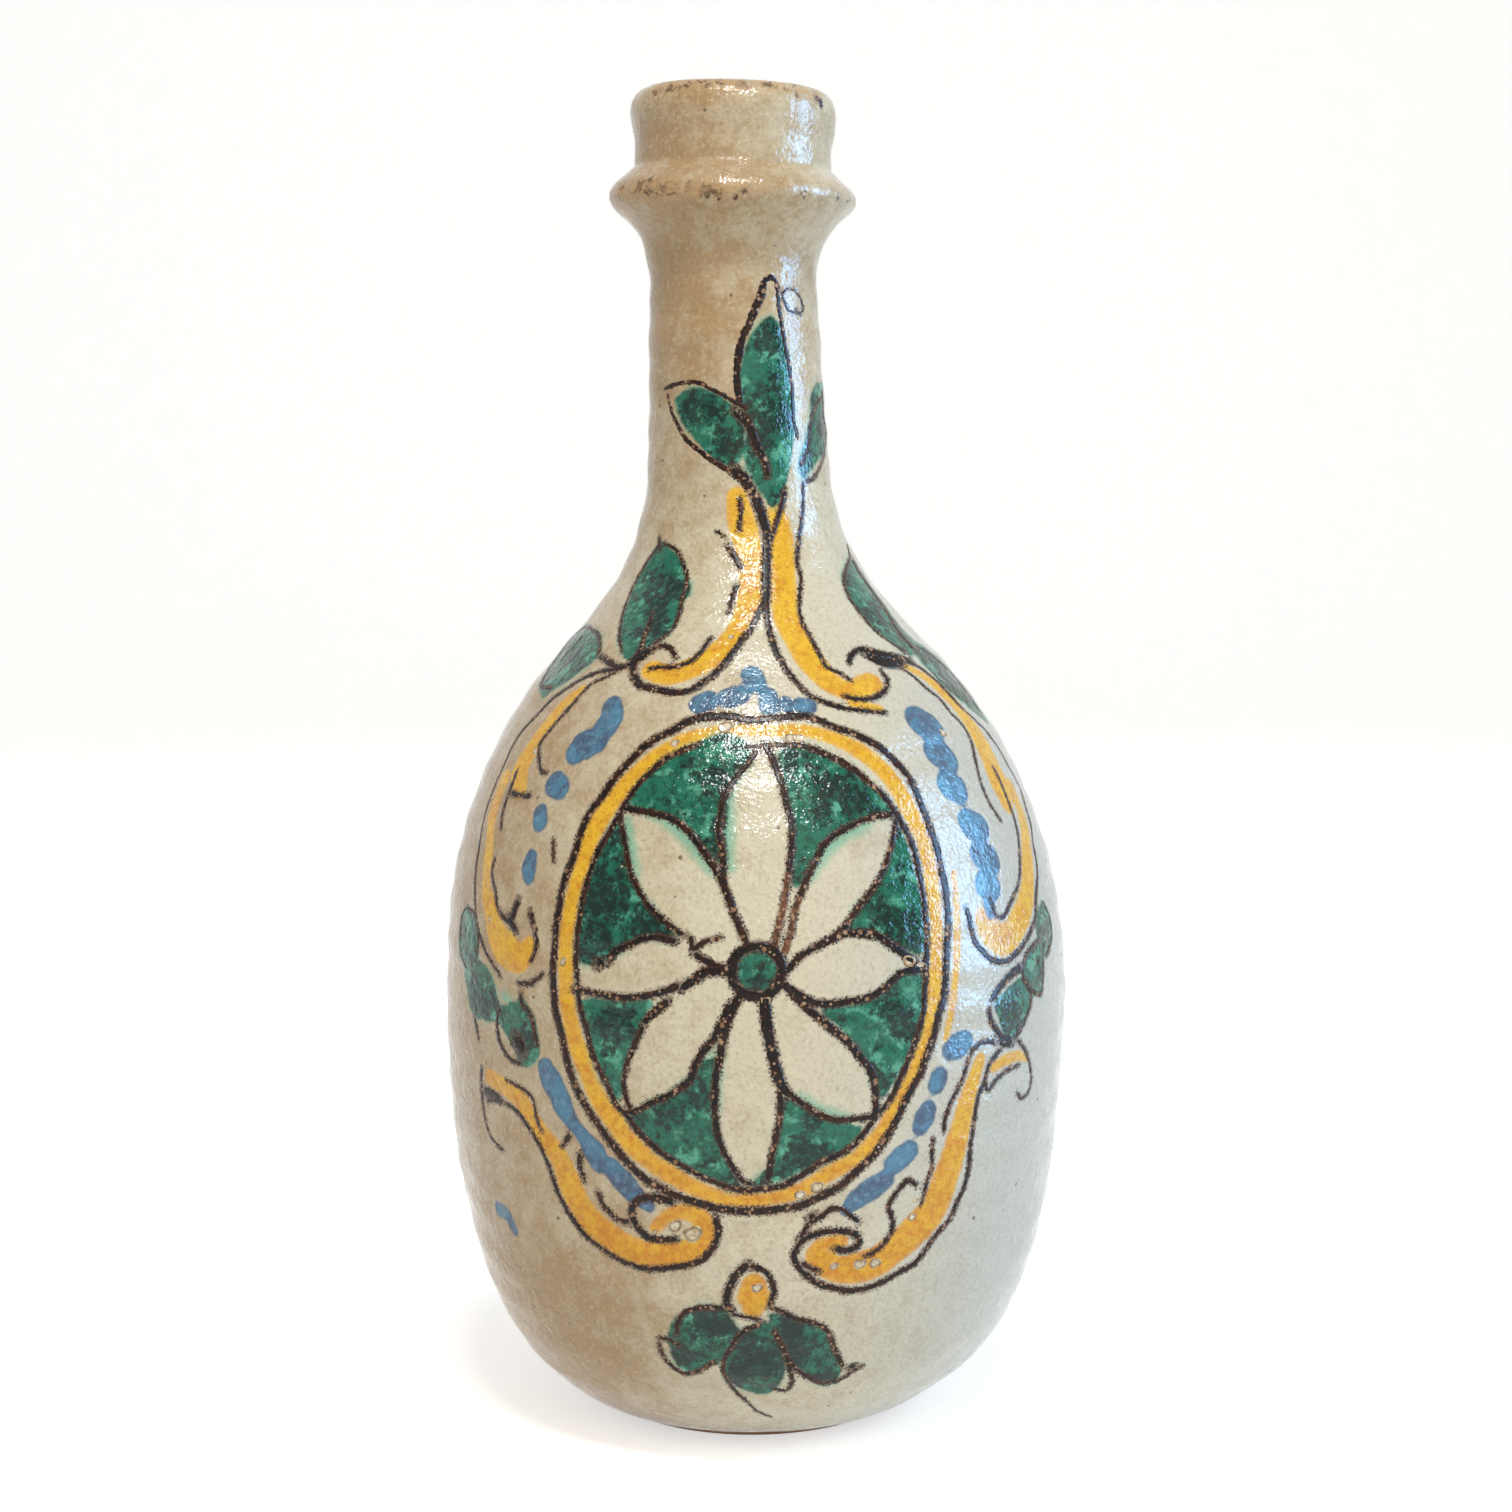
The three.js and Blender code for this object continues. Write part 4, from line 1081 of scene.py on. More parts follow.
def line_material(colours):
    """Manganese brush lines: brown at their thin edges, black where thick, full of small bubbles."""
    s = Shading("manganese_line")
    lift, load = s.attribute("lift"), s.attribute("load")
    clot, crumb = s.noise(1.1, 3, 0.7), s.noise(0.35, 2, 0.7)
    thick = s.plus(s.times(load, 0.6), s.bend(lift, 0.0, 0.8, -0.45, 0.4))
    thick = s.plus(thick, s.bend(clot, 0.35, 0.65, -0.3, 0.45), clamp=True)
    brown = s.mix(s.bend(load, 0.25, 0.1, 0.0, 0.8), colours.thin_line, paint(148, 100, 70))
    colour = s.mix(thick, brown, colours.thick_line)
    scarce = s.plus(s.times(load, 0.3), s.bend(s.noise(4.5), 0.4, 0.6, -0.25, 0.3))
    bubbles = 0.0
    for size, share in ((0.8, 0.62), (1.35, 0.42)):
        distance, own = s.cells(size)
        chance = s.plus(s.parts(own)[0], scarce)
        there = s.bend(chance, share + 0.06, share - 0.06)
        hollow = s.times(s.bend(distance, 0.4, 0.28), there)
        tone = s.mix(s.parts(own)[1], colours.line_bubble, paint(140, 98, 66))
        colour = s.mix(s.times(hollow, 0.9), colour, tone)
        bubbles = s.larger(bubbles, hollow)
    colour = s.mix(s.bend(crumb, 0.58, 0.78, 0.0, 0.5), colour, colours.thin_line)
    height = s.minus(s.times(crumb, 0.6), bubbles)
    return s.finish(colour, s.bend(clot, 0.3, 0.7, 0.14, 0.34), s.bump(height, 0.12, 0.8), 0.25)


def bubble_material():
    """Burst bubbles: a glassy floor, and a painted brown shadow under a low rim."""
    s = Shading("burst_bubble")
    tone = s.noise(1.2, 3, 0.6)
    uneven = s.plus(s.attribute("ring"), s.times(s.minus(tone, 0.5), 0.5))
    floor = s.mix(s.bend(tone, 0.35, 0.65), paint(190, 166, 124), paint(232, 222, 198))
    rim = s.mix(s.bend(tone, 0.4, 0.6), paint(150, 112, 62), paint(220, 196, 148))
    colour = s.mix(s.bend(uneven, 0.55, 0.85), floor, rim)
    # Painted shadow: a dark brown band on the inner side of the rim.
    shadow = s.times(s.bend(uneven, 0.5, 0.68), s.bend(uneven, 0.86, 0.7))
    colour = s.mix(s.times(shadow, 0.6), colour, paint(84, 60, 38))
    return s.finish(colour, 0.16, s.bump(tone, 0.06, 0.6), 0.5)


def clay_material(colours):
    """Fired buff clay: gritty, stained where it has rubbed on shelves."""
    s = Shading("bare_clay")
    cloud, grit = s.noise(7, 4, 0.6), s.noise(0.5, 3, 0.7)
    stain = s.times(s.bend(s.parts(s.place)[2], 3 * MM, 0.0), s.bend(cloud, 0.35, 0.65, 0.2, 0.8))
    colour = s.mix(s.bend(cloud, 0.3, 0.7), colours.clay, paint(176, 122, 86))
    colour = s.mix(stain, colour, colours.dirty_clay)
    colour = s.mix(s.bend(grit, 0.55, 0.8, 0.0, 0.5), colour, paint(226, 196, 162))
    colour = s.mix(s.bend(s.cells(2.2)[0], 0.09, 0.05, 0.0, 0.7), colour, paint(92, 58, 40))
    return s.finish(colour, s.bend(grit, 0.3, 0.7, 0.7, 0.92), s.bump(grit, 0.12, 0.8), 0.3)


# Geometry Nodes. In each function g is the tree that it builds.

class Growing(Nodes):
    """Builds one Geometry Nodes tree with named inputs."""

    def __init__(self, name, inputs):
        super().__init__(bpy.data.node_groups.new(name, "GeometryNodeTree"))
        face = self.tree.interface
        face.new_socket("Geometry", in_out="INPUT", socket_type="NodeSocketGeometry")
        for label, kind in inputs.items():
            face.new_socket(label, in_out="INPUT", socket_type="NodeSocket" + kind)
        face.new_socket("Geometry", in_out="OUTPUT", socket_type="NodeSocketGeometry")
        self.inputs = self.add("NodeGroupInput").outputs
        self.skin = self.shape(self.inputs["Skin"])

    def shape(self, holder):
        """The mesh of an object."""
        return self.add("GeometryNodeObjectInfo", {"Object": holder}).outputs["Geometry"]

    def vector(self, operation, first, second):
        """Vector maths. SCALE takes a number as its second value."""
        node = self.add("ShaderNodeVectorMath", {0: first, 3 if operation == "SCALE" else 1: second},
                        operation=operation)
        return node.outputs["Value" if operation == "DOT_PRODUCT" else "Vector"]

    def noise(self, scale, **inputs):
        return self.add("ShaderNodeTexNoise", {"Scale": scale, "Detail": 2.0, **inputs}).outputs

    def named(self, name):
        return self.out("GeometryNodeInputNamedAttribute", {"Name": name}, data_type="FLOAT")

    def store(self, geometry, name, value):
        return self.out("GeometryNodeStoreNamedAttribute",
                        {"Geometry": geometry, "Name": name, "Value": value},
                        data_type="FLOAT", domain="POINT")

    def position(self):
        return self.out("GeometryNodeInputPosition")

    def below(self):
        """The nearest place on the skin."""
        return self.out("GeometryNodeProximity", {0: self.skin}, target_element="FACES")

    def outward(self):
        """The skin's normal at the nearest place on it."""
        return self.out("GeometryNodeSampleNearestSurface",
                        {"Mesh": self.skin, "Value": self.out("GeometryNodeInputNormal")},
                        data_type="FLOAT_VECTOR")

    def finish(self, geometry):
        """Ends the tree: instances made real, smooth, with the material from the input of that name."""
        real = self.out("GeometryNodeRealizeInstances", {0: geometry})
        smooth = self.out("GeometryNodeSetShadeSmooth", {0: real})
        dressed = self.out("GeometryNodeSetMaterial", {0: smooth, "Material": self.inputs["Material"]})
        self.add("NodeGroupOutput", {0: dressed})
        return self.tree


def grow(name, guide, tree, values):
    """Runs a tree on a guide mesh with the given input values, and returns the result as a plain mesh."""
    holder = place_object(name + "_guide", guide)
    modifier = holder.modifiers.new("Grow", "NODES")
    modifier.node_group = tree
    sockets = {item.name: item.identifier for item in tree.interface.items_tree if item.in_out == "INPUT"}
    for label, value in values.items():
        modifier[sockets[label]] = value
    bpy.context.view_layer.update()
    evaluated = holder.evaluated_get(bpy.context.evaluated_depsgraph_get())
    result = bpy.data.meshes.new_from_object(evaluated)
    result.name = name
    bpy.data.objects.remove(holder)
    if not result.polygons:
        raise RuntimeError(f"{name} came out empty")
    return result


# A line swells and thins over LOAD_LENGTH, as shares of its width. Its back is lumpy, as shares of the
# relief. Noise lies round NOISE_MIDDLE and is brought to about -1 to 1 by NOISE_TO_UNIT.
LOAD_LENGTH = 3.5 * MM
LOAD_LEAST, LOAD_SWING = 0.66, 0.68
NARROWEST_TIP = 0.15
LUMP_SIZE = 0.5 * MM
LUMP_SCALE, LUMP_DROP, LOWEST_LUMP = 3.0, 0.6, 0.2
NOISE_MIDDLE = (0.5, 0.5, 0.5)
NOISE_TO_UNIT = 4.0


def brush_line_tree():
    """Sweeps each guide line as a low, ragged ridge lying in the glaze."""
    g = Growing("brush_lines", {
        "Skin": "Object", "Step": "Float", "Relief": "Float", "Embed": "Float", "Ragged": "Float",
        "Grain": "Float", "Sides": "Int", "Material": "Material"})
    inputs = g.inputs
    curve = g.out("GeometryNodeMeshToCurve", {0: inputs["Geometry"]})
    curve = g.out("GeometryNodeCurveSplineType", {0: curve}, spline_type="CATMULL_ROM")
    curve = g.out("GeometryNodeResampleCurve", {"Curve": curve, "Length": inputs["Step"]}, mode="LENGTH")
    curve = g.out("GeometryNodeSetCurveNormal", {"Curve": curve, "Normal": g.outward()}, mode="FREE")

    # The line's half width swells and thins along it, and it is rounded off at both ends.
    width = g.named("half_width")
    run = g.add("GeometryNodeSplineParameter").outputs["Length"]
    whole = g.add("GeometryNodeSplineLength").outputs["Length"]
    to_end = g.math("MINIMUM", run, g.minus(whole, run))
    share = g.minus(1.0, g.math("DIVIDE", to_end, width, clamp=True))
    rounding = g.math("SQRT", g.minus(1.0, g.times(share, share)))
    swell = g.plus(LOAD_LEAST, g.times(g.noise(1 / LOAD_LENGTH)[0], LOAD_SWING))
    radius = g.times(g.times(width, swell), g.larger(rounding, NARROWEST_TIP))
    curve = g.store(curve, "line_radius", radius)
    section = g.out("GeometryNodeCurvePrimitiveCircle", {"Resolution": inputs["Sides"], "Radius": 1.0})
    swept = g.out("GeometryNodeCurveToMesh", {"Curve": curve, "Profile Curve": section,
                                              "Scale": g.named("line_radius"), "Fill Caps": True})

    # lift says how high a point lies in its round section, from -1 to 1. The section is then flattened.
    above = g.vector("DOT_PRODUCT", g.vector("SUBTRACT", g.position(), g.below()), g.outward())
    lift = g.math("MINIMUM", g.larger(g.math("DIVIDE", above, g.named("line_radius")), -1.0), 1.0)
    swept = g.store(swept, "lift", lift)
    stray = g.noise(g.math("DIVIDE", 1.0, inputs["Grain"]), Roughness=0.6)[1]
    stray = g.vector("SUBTRACT", stray, NOISE_MIDDLE)
    stray = g.vector("SCALE", stray, g.times(inputs["Ragged"], NOISE_TO_UNIT))
    swept = g.out("GeometryNodeSetPosition", {0: swept, "Offset": stray})
    lift = g.named("lift")
    lumps = g.larger(g.minus(g.times(g.noise(1 / LUMP_SIZE)[0], LUMP_SCALE), LUMP_DROP), LOWEST_LUMP)
    proud = g.times(g.times(inputs["Relief"], g.larger(lift, 0.0)), lumps)
    sunk = g.times(inputs["Embed"], g.math("MINIMUM", lift, 0.0))
    flat = g.vector("ADD", g.below(), g.vector("SCALE", g.outward(), g.plus(proud, sunk)))
    return g.finish(g.out("GeometryNodeSetPosition", {0: swept, "Position": flat}))


PINHOLES_FROM = 12 * MM
PINHOLES_PER_SQUARE_METRE = 700.0
PINHOLE_RADIUS = 0.3 * MM
LEAST_PINHOLE = 0.35


def burst_bubble_tree():
    """Sets a small crater on every guide point, upright on the glaze, and pinholes over the skin above its
    lowest 12 mm.
    """
    g = Growing("burst_bubbles", {
        "Skin": "Object", "Crater": "Object", "Pinholes": "Float", "Pinhole Size": "Float", "Seed": "Int",
        "Material": "Material"})
    inputs = g.inputs
    crater = g.shape(inputs["Crater"])
    points = g.out("GeometryNodeMeshToPoints", {0: inputs["Geometry"]})
    turn = g.out("FunctionNodeAlignRotationToVector", {"Vector": g.outward()}, axis="Z")
    scatter = g.add("GeometryNodeDistributePointsOnFaces", {
        "Mesh": g.skin, "Density": inputs["Pinholes"], "Seed": inputs["Seed"],
        "Selection": g.math("GREATER_THAN", g.parts(g.position())[2], PINHOLES_FROM)}).outputs
    draw = g.add("FunctionNodeRandomValue", {2: LEAST_PINHOLE, 3: 1.0, "Seed": inputs["Seed"]}).outputs[1]
    both = g.add("GeometryNodeJoinGeometry")
    for places, rotation, size in ((points, turn, g.named("bubble_size")),
                                   (scatter[0], scatter["Rotation"], g.times(inputs["Pinhole Size"], draw))):
        placed = g.out("GeometryNodeInstanceOnPoints", {
            "Points": places, "Instance": crater, "Rotation": rotation, "Scale": size})
        g.tree.links.new(placed, both.inputs[0])
    return g.finish(both.outputs[0])


# The radius and height of each ring of a crater, out from its middle, as shares of its radius.
CRATER_OUTLINE = ((0.0, 0.01), (0.45, 0.015), (0.62, 0.03), (0.78, 0.09), (0.9, 0.06), (1.0, -0.1))
CRATER_CORNERS = 14
TWO_LOBES, THREE_LOBES, LOBES_START = 0.14, 0.1, 0.7
CRATER_TILT = 0.6
CRATER_WELD = 1e-4


def crater_mesh():
    """A burst bubble of radius 1: a shallow floor inside a round rim. Its attribute ring goes from 0 to 1."""
    around = CRATER_CORNERS
    points, ring = [], []
    for radius, height in CRATER_OUTLINE:
        for i in range(around):
            turn = 2 * math.pi * i / around
            lobes = 1 + TWO_LOBES * math.sin(2 * turn + LOBES_START) + THREE_LOBES * math.sin(3 * turn)
            uneven = radius * lobes
            tilted = height * (1 + CRATER_TILT * math.sin(turn))
            points.append((uneven * math.cos(turn), uneven * math.sin(turn), tilted))
            ring.append(radius)
    faces = []
    for row in range(len(CRATER_OUTLINE) - 1):
        for i in range(around):
            ahead, out = (i + 1) % around, (row + 1) * around
            faces.append((out + i, out + ahead, row * around + ahead, row * around + i))
    faces.append(tuple(len(points) - 1 - i for i in range(around)))
    mesh = bpy.data.meshes.new("crater")
    mesh.from_pydata(points, [], faces)
    keep_values(mesh, "ring", ring)
    joined = welded(mesh, CRATER_WELD)
    bmesh.ops.recalc_face_normals(joined, faces=joined.faces)
    joined.to_mesh(mesh)
    joined.free()
    return mesh


# Operators

CLAY_NODES = ("lower_body", "upper_body", "neck_tube", "neck_ring", "mouth_collar")
LINE_GROUPS = {
    "neck_line_work": NECK_LINES,
    "scroll_line_work": SCROLL_LINES,
    "leaf_line_work": LEAF_LINES,
    "rosette_line_work": ROSETTE_LINES,
    "sprig_line_work": SPRIG_LINES,
}

# How many of the CAD's rings past the lip's top get fine rows, and how many rows past it take paint
LIP_RINGS = 6
LIP_ROWS = 2

# The dents, the throwing rings and how far up the foot they start
DENT_LENGTHS = (14 * MM, 48 * MM)
DENT_WAVES = 40
RING_CLIMB, RING_WAVER = 1.1, 0.8
EVEN_BELOW, UNEVEN_ABOVE = 6 * MM, 16 * MM

# The waves of the glaze's edge: how many go round, where each starts and its share. They die out over
# EDGE_REACH, and the very corner stays on the CAD's.
EDGE_WAVES = ((3, 1, 0.6), (8, 0, 0.4), (17, 0, 0.3))
EDGE_REACH = 6 * MM
CORNER_REACH = 0.2 * MM

# The ring's nose and the lip, where hands rubbed the glaze
RING_NOSE_HEIGHT = 242.8 * MM
RING_NOSE_WIDTH = 2.4 * MM
LIP_FROM, LIP_TO = 259 * MM, 263 * MM
LIP_WEAR = 0.8
WEAR_MIDDLE, WEAR_SWING = 0.62, 0.4

CHIP_LENGTHS = (1.2 * MM, 3 * MM)
CHIP_WAVES = 12
CHIP_RAGGED = 0.25
CHIP_SLOPE = (-0.3 * MM, 0.35 * MM)


class BOTTLE_OT_clay(bpy.types.Operator):
    """Make the thrown clay pieces"""

    bl_idname = "bottle.clay"
    bl_label = "Clay"

    def execute(self, context):
        material = clay_material(settings("colours"))
        for node in CLAY_NODES:
            turned_piece(node, node + "_clay", material)
        return {"FINISHED"}


class BOTTLE_OT_inner_glaze(bpy.types.Operator):
    """Make the glaze that was poured inside"""

    bl_idname = "bottle.inner_glaze"
    bl_label = "Inner Glaze"

    def execute(self, context):
        material = plain_glaze_material(settings("colours"))
        turned_piece("inner_glaze", "inner_glaze_coat", material)
        return {"FINISHED"}


class BOTTLE_OT_outer_glaze(bpy.types.Operator):
    """Make the outer glaze, uneven as it was thrown, with the painted colours melted into it"""

    bl_idname = "bottle.outer_glaze"
    bl_label = "Outer Glaze"

    def execute(self, context):
        build = settings("build")
        rings, closed = node_rings("outer_glaze")
        outside = np.arange(len(rings)) < np.argmax(rings[:, 2]) + LIP_RINGS
        fine = refined(rings, closed, np.where(outside, build.painted_step, build.hidden_step))
        angles = painted_angles(build)
        grid = turned_grid(fine, angles)
        along = np.roll(grid, -1, axis=0) - np.roll(grid, 1, axis=0)
        around = np.roll(grid, -1, axis=1) - np.roll(grid, 1, axis=1)
        normal = np.cross(around, along)
        normal /= np.linalg.norm(normal, axis=-1, keepdims=True)
        along /= np.linalg.norm(along, axis=-1, keepdims=True)
        row = np.arange(len(fine))
        crest = np.argmax(fine[:, 2])
        seen = (row < crest)[:, None] * 1.0
        slow = waves(grid, DENT_LENGTHS, DENT_WAVES)
        height = grid[..., 2]
        relief = seen * self.relief(height, angles, slow)
        shift = self.edge_shift(fine, angles)[..., None] * along * np.where(row < crest, 1, -1)[:, None, None]
        mesh = wall_mesh("outer_glaze_coat", grid + normal * relief[..., None] + shift, closed)
        canvas = Canvas(mesh, search_tree(mesh), np.repeat(row < crest + LIP_ROWS, len(angles)))
        self.chip(canvas, normal.reshape(-1, 3))
        self.lay_colours(canvas)
        nose = np.exp(-((height - RING_NOSE_HEIGHT) / RING_NOSE_WIDTH) ** 2) * seen
        lip = LIP_WEAR * smoothstep(height, LIP_FROM, LIP_TO)
        rub = np.clip(nose + lip, 0, 1) * np.clip(WEAR_MIDDLE + WEAR_SWING * slow, 0, 1)
        keep_values(mesh, "rubbed", rub.ravel())
        material = painted_glaze_material(settings("colours"))
        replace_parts(add_piece("outer_glaze_coat", mesh, material), "outer_glaze")
        return {"FINISHED"}

    def relief(self, height, angles, slow):
        """How far the wall stands out, from its slow dents and the throwing rings. The foot stays even."""
        build = settings("build")
        pitch = 2 * math.pi / build.throwing_pitch
        fingers = np.sin(height * pitch + RING_CLIMB * np.sin(angles) + RING_WAVER * slow)
        dents = build.dent_depth * slow * 0.5
        return smoothstep(height, EVEN_BELOW, UNEVEN_ABOVE) * (dents + build.throwing_depth * fingers)

    def edge_shift(self, rings, angles):
        """How far each point of the glaze moves up the wall, so that its lower edge runs up and down."""
        side = rings[:, :3] + rings[:, 3:]
        run = np.linalg.norm(np.diff(side, axis=0, prepend=side[:1]), axis=1)
        up_wall = np.cumsum(run)
        from_edge = np.minimum(up_wall, up_wall[-1] + run[1:].mean() - up_wall)
        share = (1 - smoothstep(from_edge, 0, EDGE_REACH)) * (from_edge > CORNER_REACH)
        wander = sum(part * np.sin(turns * angles + start) for turns, start, part in EDGE_WAVES)
        return settings("build").glaze_edge_wander * wander * share[:, None]

    def chip(self, canvas, normals):
        """Sinks the chipped places and keeps how far each point is from them."""
        nearest = np.full(len(canvas.points), canvas.reach)
        depth = np.zeros(len(canvas.points))
        for x, y, radius, sunk in WORN_SPOTS.values():
            offset = canvas.points - from_photo(canvas.skin, x, y)
            ragged = CHIP_RAGGED * waves(offset, CHIP_LENGTHS, CHIP_WAVES)
            distance = np.linalg.norm(offset, axis=1) - radius * MM * (1 + ragged)
            nearest = np.minimum(nearest, distance)
            depth = np.maximum(depth, sunk * MM * smoothstep(-distance, *CHIP_SLOPE))
        moved = canvas.points - normals[canvas.index] * depth[:, None]
        for i in np.flatnonzero(depth > 0):
            canvas.mesh.vertices[canvas.index[i]].co = moved[i]
        canvas.store("worn", nearest)

    def lay_colours(self, canvas):
        """Keeps how far each point is from the edge of every colour, and from the lines' stain."""
        canvas.areas("green", GREEN_AREAS.values())
        for name, strokes in (("yellow", YELLOW_BANDS), ("blue", BLUE_DABS), ("spill", GREEN_SPILLS)):
            canvas.bands(name, strokes.values())
        lines = {}
        for group in LINE_GROUPS.values():
            for name, (start, end, _, points) in group.items():
                widths = np.linspace(start, end, len(points))
                lines[name] = [(*point, width) for point, width in zip(points, widths)]
        canvas.bands("line", lines.values())


class BOTTLE_OT_line_work(bpy.types.Operator):
    """Draw the brown and black brush lines as low ridges on the outer glaze"""

    bl_idname = "bottle.line_work"
    bl_label = "Line Work"

    def execute(self, context):
        brush = settings("brush")
        material = line_material(settings("colours"))
        tree = brush_line_tree()
        glaze = bpy.data.objects["outer_glaze_coat"]
        skin = search_tree(glaze.data)
        for name, lines in LINE_GROUPS.items():
            mesh = grow(name, self.guide(name, lines, skin), tree, {
                "Skin": glaze, "Step": brush.step, "Relief": brush.relief, "Embed": brush.embed,
                "Ragged": brush.ragged, "Grain": brush.grain, "Sides": brush.sides, "Material": material})
            add_piece(name, mesh, material)
        return {"FINISHED"}

    def guide(self, name, lines, skin):
        """The middles of the lines on the glaze, as a mesh of edges with each point's width and load."""
        points, edges, widths, loads = [], [], [], []
        spread = settings("brush").spread
        for start, end, load, pixels in lines.values():
            first = len(points)
            points += [from_photo(skin, x, y) for x, y in pixels]
            edges += [(first + i, first + i + 1) for i in range(len(pixels) - 1)]
            widths += [width * spread * MM / 2 for width in np.linspace(start, end, len(pixels))]
            loads += [load] * len(pixels)
        mesh = bpy.data.meshes.new(name + "_guide")
        mesh.from_pydata([tuple(point) for point in points], edges, [])
        keep_values(mesh, "half_width", widths)
        keep_values(mesh, "load", loads)
        return mesh


class BOTTLE_OT_kiln_marks(bpy.types.Operator):
    """Set the burst bubbles and pinholes that the kiln left in the glaze"""

    bl_idname = "bottle.kiln_marks"
    bl_label = "Kiln Marks"

    def execute(self, context):
        material = bubble_material()
        glaze = bpy.data.objects["outer_glaze_coat"]
        skin = search_tree(glaze.data)
        guide = bpy.data.meshes.new("bubble_guide")
        guide.from_pydata([tuple(from_photo(skin, x, y)) for x, y, _ in BURST_BUBBLES.values()], [], [])
        keep_values(guide, "bubble_size", [radius * MM for _, _, radius in BURST_BUBBLES.values()])
        crater = bpy.data.objects.new("crater", crater_mesh())
        mesh = grow("burst_bubbles", guide, burst_bubble_tree(), {
            "Skin": glaze, "Crater": crater, "Pinholes": PINHOLES_PER_SQUARE_METRE,
            "Pinhole Size": PINHOLE_RADIUS, "Seed": settings("build").seed, "Material": material})
        add_piece("burst_bubbles", mesh, material)
        bpy.data.objects.remove(crater)
        return {"FINISHED"}


# The stage, in metres

WHITE = (1.0, 1.0, 1.0, 1.0)
ROOM = (1.0, 0.985, 0.96, 1.0)
BOTTLE_MIDDLE = (0, 0, 130 * MM)
WINDOW_HEIGHT = 0.4
NEAREST_SEEN = 0.05
FLOOR_HALF, FLOOR_TO = 12.0, 1.6
BACKDROP_RADIUS, BACKDROP_TOP, BACKDROP_BENDS = 0.9, 3.0, 16
FLOOR_COLOUR = paint(238, 237, 234)
FLOOR_ROUGHNESS = 0.9
FLOOR_GLOW = 0.6

# Each lamp has its place, what it is turned to, its width and height, its power's setting, its colour
# and the kind of ray that doesn't see it. The window is two lamps, one for the gloss and one for the
# rest, and the overhead window is seen in the gloss alone, so that pale glaze doesn't clip to white.
LAMPS = {
    "window": ((1.1, -0.12, WINDOW_HEIGHT), (0, -0.12, WINDOW_HEIGHT), (0.44, 0.76),
               "glint_power", (0.26, 0.57, 1.0), "diffuse"),
    "window_fill": ((1.1, -0.2, 0.5), BOTTLE_MIDDLE, (0.6, 0.8),
                    "window_power", (0.36, 0.66, 1.0), "glossy"),
    "skylight": ((0.03, -0.72, 1.34), BOTTLE_MIDDLE, (0.26, 0.2),
                 "sky_power", (1.0, 0.98, 0.95), None),
    "window_above": ((0.1, -0.72, 1.34), BOTTLE_MIDDLE, (0.15, 0.6),
                     "above_power", (0.9, 0.96, 1.0), "diffuse"),
    "warm_lamp": ((0.3, -1.25, 0.85), BOTTLE_MIDDLE, (1.3, 1.3),
                  "warm_power", (1.0, 0.9, 0.77), None),
}
# How bright the mirrored room is: from a quarter in front of the bottle to full behind it.
ROOM_IN_THE_GLOSS = (-0.3, 0.6, 0.25, 1.0)


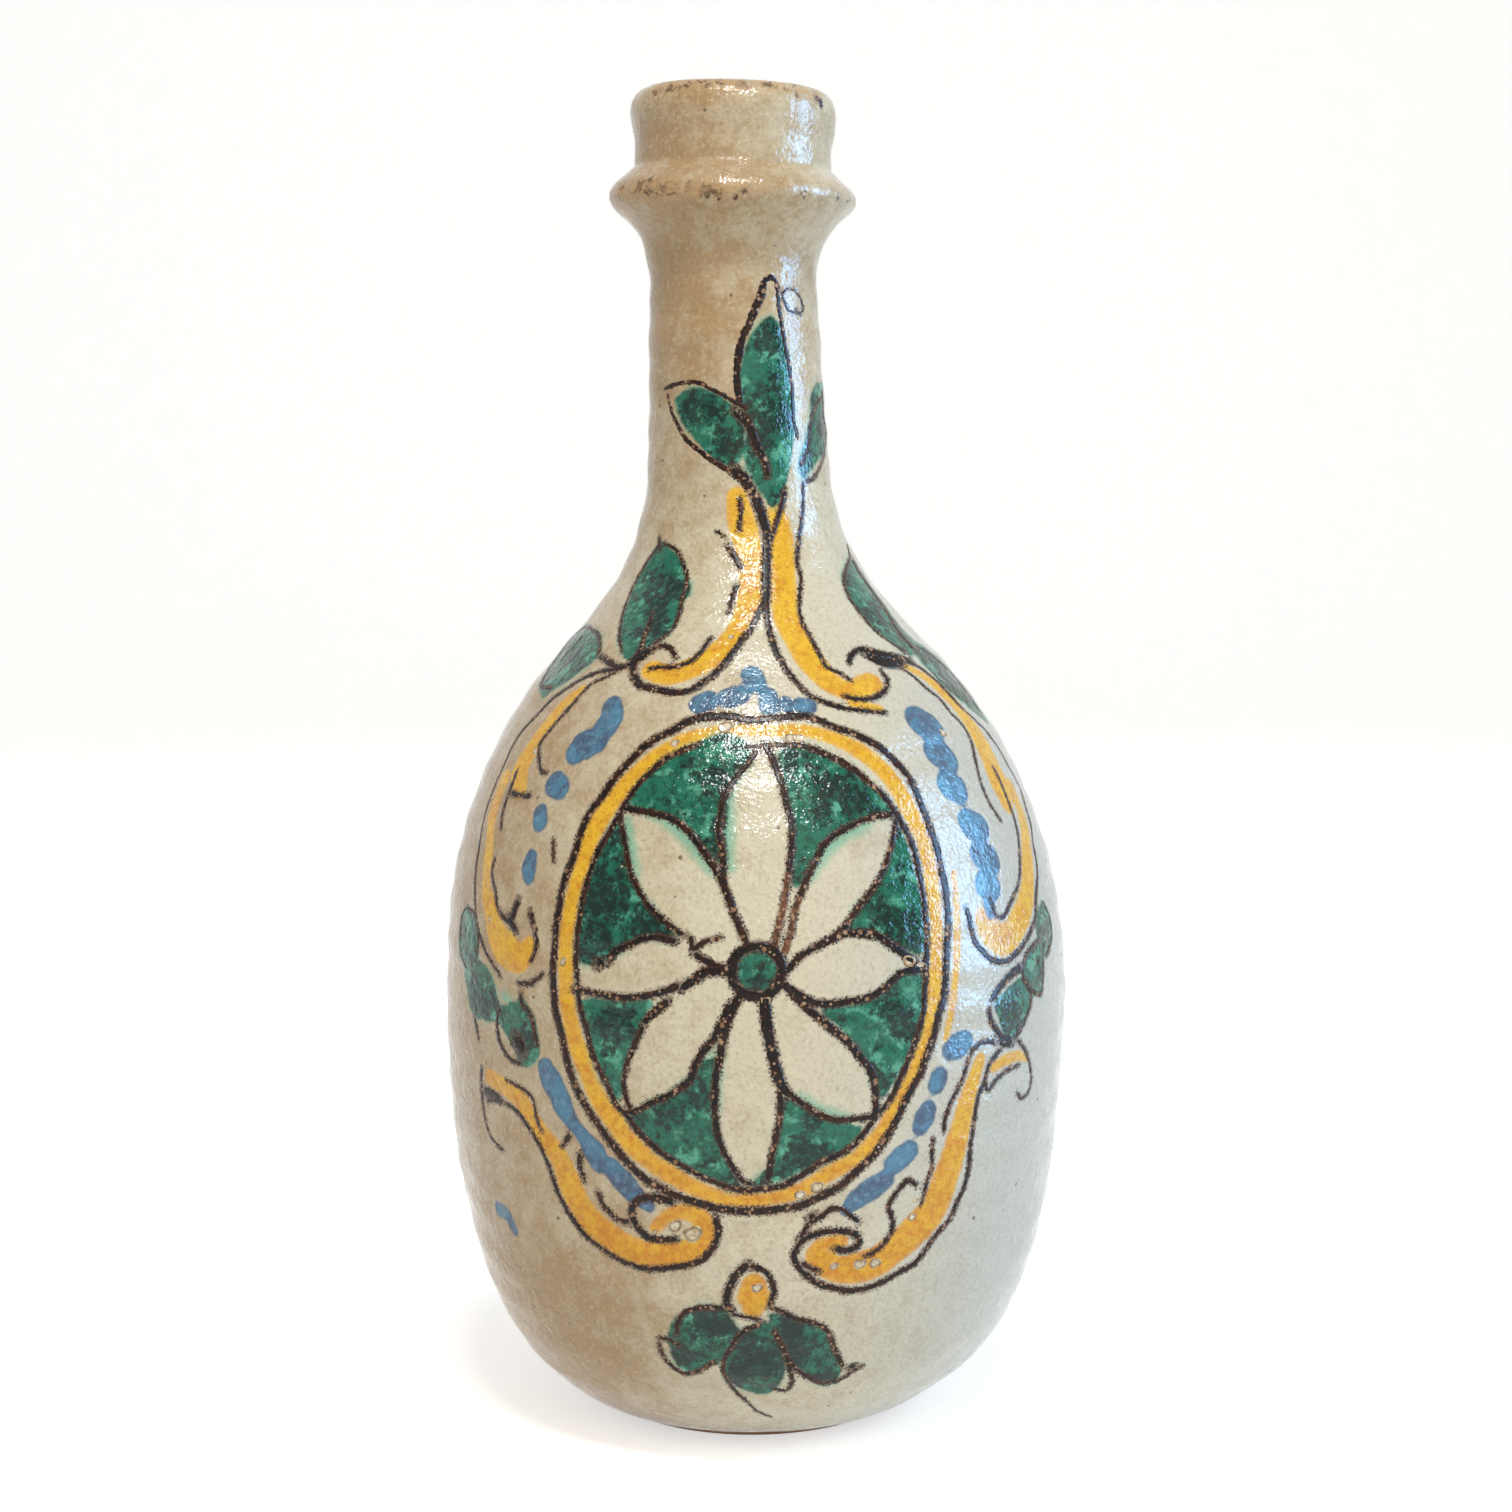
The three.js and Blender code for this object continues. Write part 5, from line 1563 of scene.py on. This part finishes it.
class BOTTLE_OT_stage(bpy.types.Operator):
    """Set up the camera, the pale floor, the lamps and the world"""

    bl_idname = "bottle.stage"
    bl_label = "Stage"

    def execute(self, context):
        stage = settings("stage")
        self.camera(context, stage)
        self.floor()
        self.lamps(stage)
        self.world(context, stage)
        context.scene.view_settings.view_transform = "Standard"
        return {"FINISHED"}

    def camera(self, context, stage):
        data = bpy.data.cameras.new("camera")
        data.lens = stage.camera_lens
        data.sensor_width = SENSOR_WIDTH
        data.clip_start = NEAREST_SEEN
        camera = place_object("camera", data)
        camera.location = (0, -stage.camera_back, stage.camera_height)
        camera.rotation_euler = (math.pi / 2 - stage.camera_down, 0, 0)
        context.scene.camera = camera

    def floor(self):
        """A floor that curves up into a backdrop. It looks white in the picture and keeps the shadow."""
        line = [(-FLOOR_HALF, 0.0), (FLOOR_TO, 0.0)]
        for i in range(1, BACKDROP_BENDS + 1):
            turn = math.pi / 2 * i / BACKDROP_BENDS
            line.append((FLOOR_TO + BACKDROP_RADIUS * math.sin(turn), BACKDROP_RADIUS * (1 - math.cos(turn))))
        line.append((FLOOR_TO + BACKDROP_RADIUS, BACKDROP_TOP))
        points = [(x, y, z) for y, z in line for x in (-FLOOR_HALF, FLOOR_HALF)]
        faces = [(2 * i, 2 * i + 1, 2 * i + 3, 2 * i + 2) for i in range(len(line) - 1)]
        mesh = bpy.data.meshes.new("floor")
        mesh.from_pydata(points, [], faces)
        mesh.shade_smooth()
        s = Shading("pale_floor")
        path = s.add("ShaderNodeLightPath").outputs
        seen = s.larger(path["Is Camera Ray"], s.larger(path["Is Glossy Ray"], path["Is Transmission Ray"]))
        mesh.materials.append(s.shader({
            "Base Color": FLOOR_COLOUR, "Roughness": FLOOR_ROUGHNESS, "Emission Color": WHITE,
            "Emission Strength": s.times(seen, FLOOR_GLOW)}))
        place_object("floor", mesh)

    def lamps(self, stage):
        """A cool window on the right, one overhead, a soft skylight and the warm room in front."""
        for name, (place, target, size, power, colour, unseen_by) in LAMPS.items():
            data = bpy.data.lights.new(name, "AREA")
            data.shape = "RECTANGLE"
            data.size, data.size_y = size
            data.energy = getattr(stage, power)
            data.color = colour
            lamp = place_object(name, data)
            lamp.location = place
            lamp.rotation_euler = (Vector(target) - Vector(place)).to_track_quat("-Z", "Y").to_euler()
            if unseen_by:
                setattr(lamp, "visible_" + unseen_by, False)

    def world(self, context, stage):
        """White behind the bottle, pale light from all round, and a darker room in front in the gloss."""
        world = bpy.data.worlds.new("pale_room")
        world.use_nodes = True
        n = Nodes(world.node_tree)
        path = n.add("ShaderNodeLightPath").outputs
        depth = n.parts(n.add("ShaderNodeTexCoord").outputs["Generated"])[1]
        mirrored = n.times(path["Is Glossy Ray"], n.bend(depth, *ROOM_IN_THE_GLOSS))
        seen = n.larger(path["Is Camera Ray"], n.larger(mirrored, path["Is Transmission Ray"]))
        room = n.out("ShaderNodeBackground", {0: ROOM, 1: stage.world_strength})
        backdrop = n.out("ShaderNodeBackground", {0: WHITE, 1: 1.0})
        n.add("ShaderNodeOutputWorld", {0: n.out("ShaderNodeMixShader", {0: seen, 1: room, 2: backdrop})})
        context.scene.world = world


class BOTTLE_PT_panel(bpy.types.Panel):
    """Lists the bottle's sizes, colours and steps"""

    bl_idname = "BOTTLE_PT_panel"
    bl_label = "Painted Bottle"
    bl_space_type = "VIEW_3D"
    bl_region_type = "UI"
    bl_category = "Bottle"

    def draw(self, context):
        for group in GROUPS:
            box = self.layout.box()
            values = settings(group)
            for name in values.__annotations__:
                box.prop(values, name)
        for operator in OPERATORS:
            self.layout.operator(operator.bl_idname)


GROUPS = {"build": BottleBuild, "brush": BottleBrush, "colours": BottleColours, "stage": BottleStage}
OPERATORS = (BOTTLE_OT_stage, BOTTLE_OT_clay, BOTTLE_OT_inner_glaze, BOTTLE_OT_outer_glaze,
             BOTTLE_OT_line_work, BOTTLE_OT_kiln_marks)
CLASSES = (*GROUPS.values(), *OPERATORS, BOTTLE_PT_panel)


def register():
    for cls in CLASSES:
        bpy.utils.register_class(cls)
    for name, group in GROUPS.items():
        setattr(bpy.types.Scene, "bottle_" + name, bpy.props.PointerProperty(type=group))


def unregister():
    for name in GROUPS:
        delattr(bpy.types.Scene, "bottle_" + name)
    for cls in reversed(CLASSES):
        bpy.utils.unregister_class(cls)


def main():
    register()
    bpy.ops.bottle.stage()
    bpy.ops.bottle.clay()
    bpy.ops.bottle.inner_glaze()
    bpy.ops.bottle.outer_glaze()
    bpy.ops.bottle.line_work()
    bpy.ops.bottle.kiln_marks()


if __name__ == "__main__":
    main()
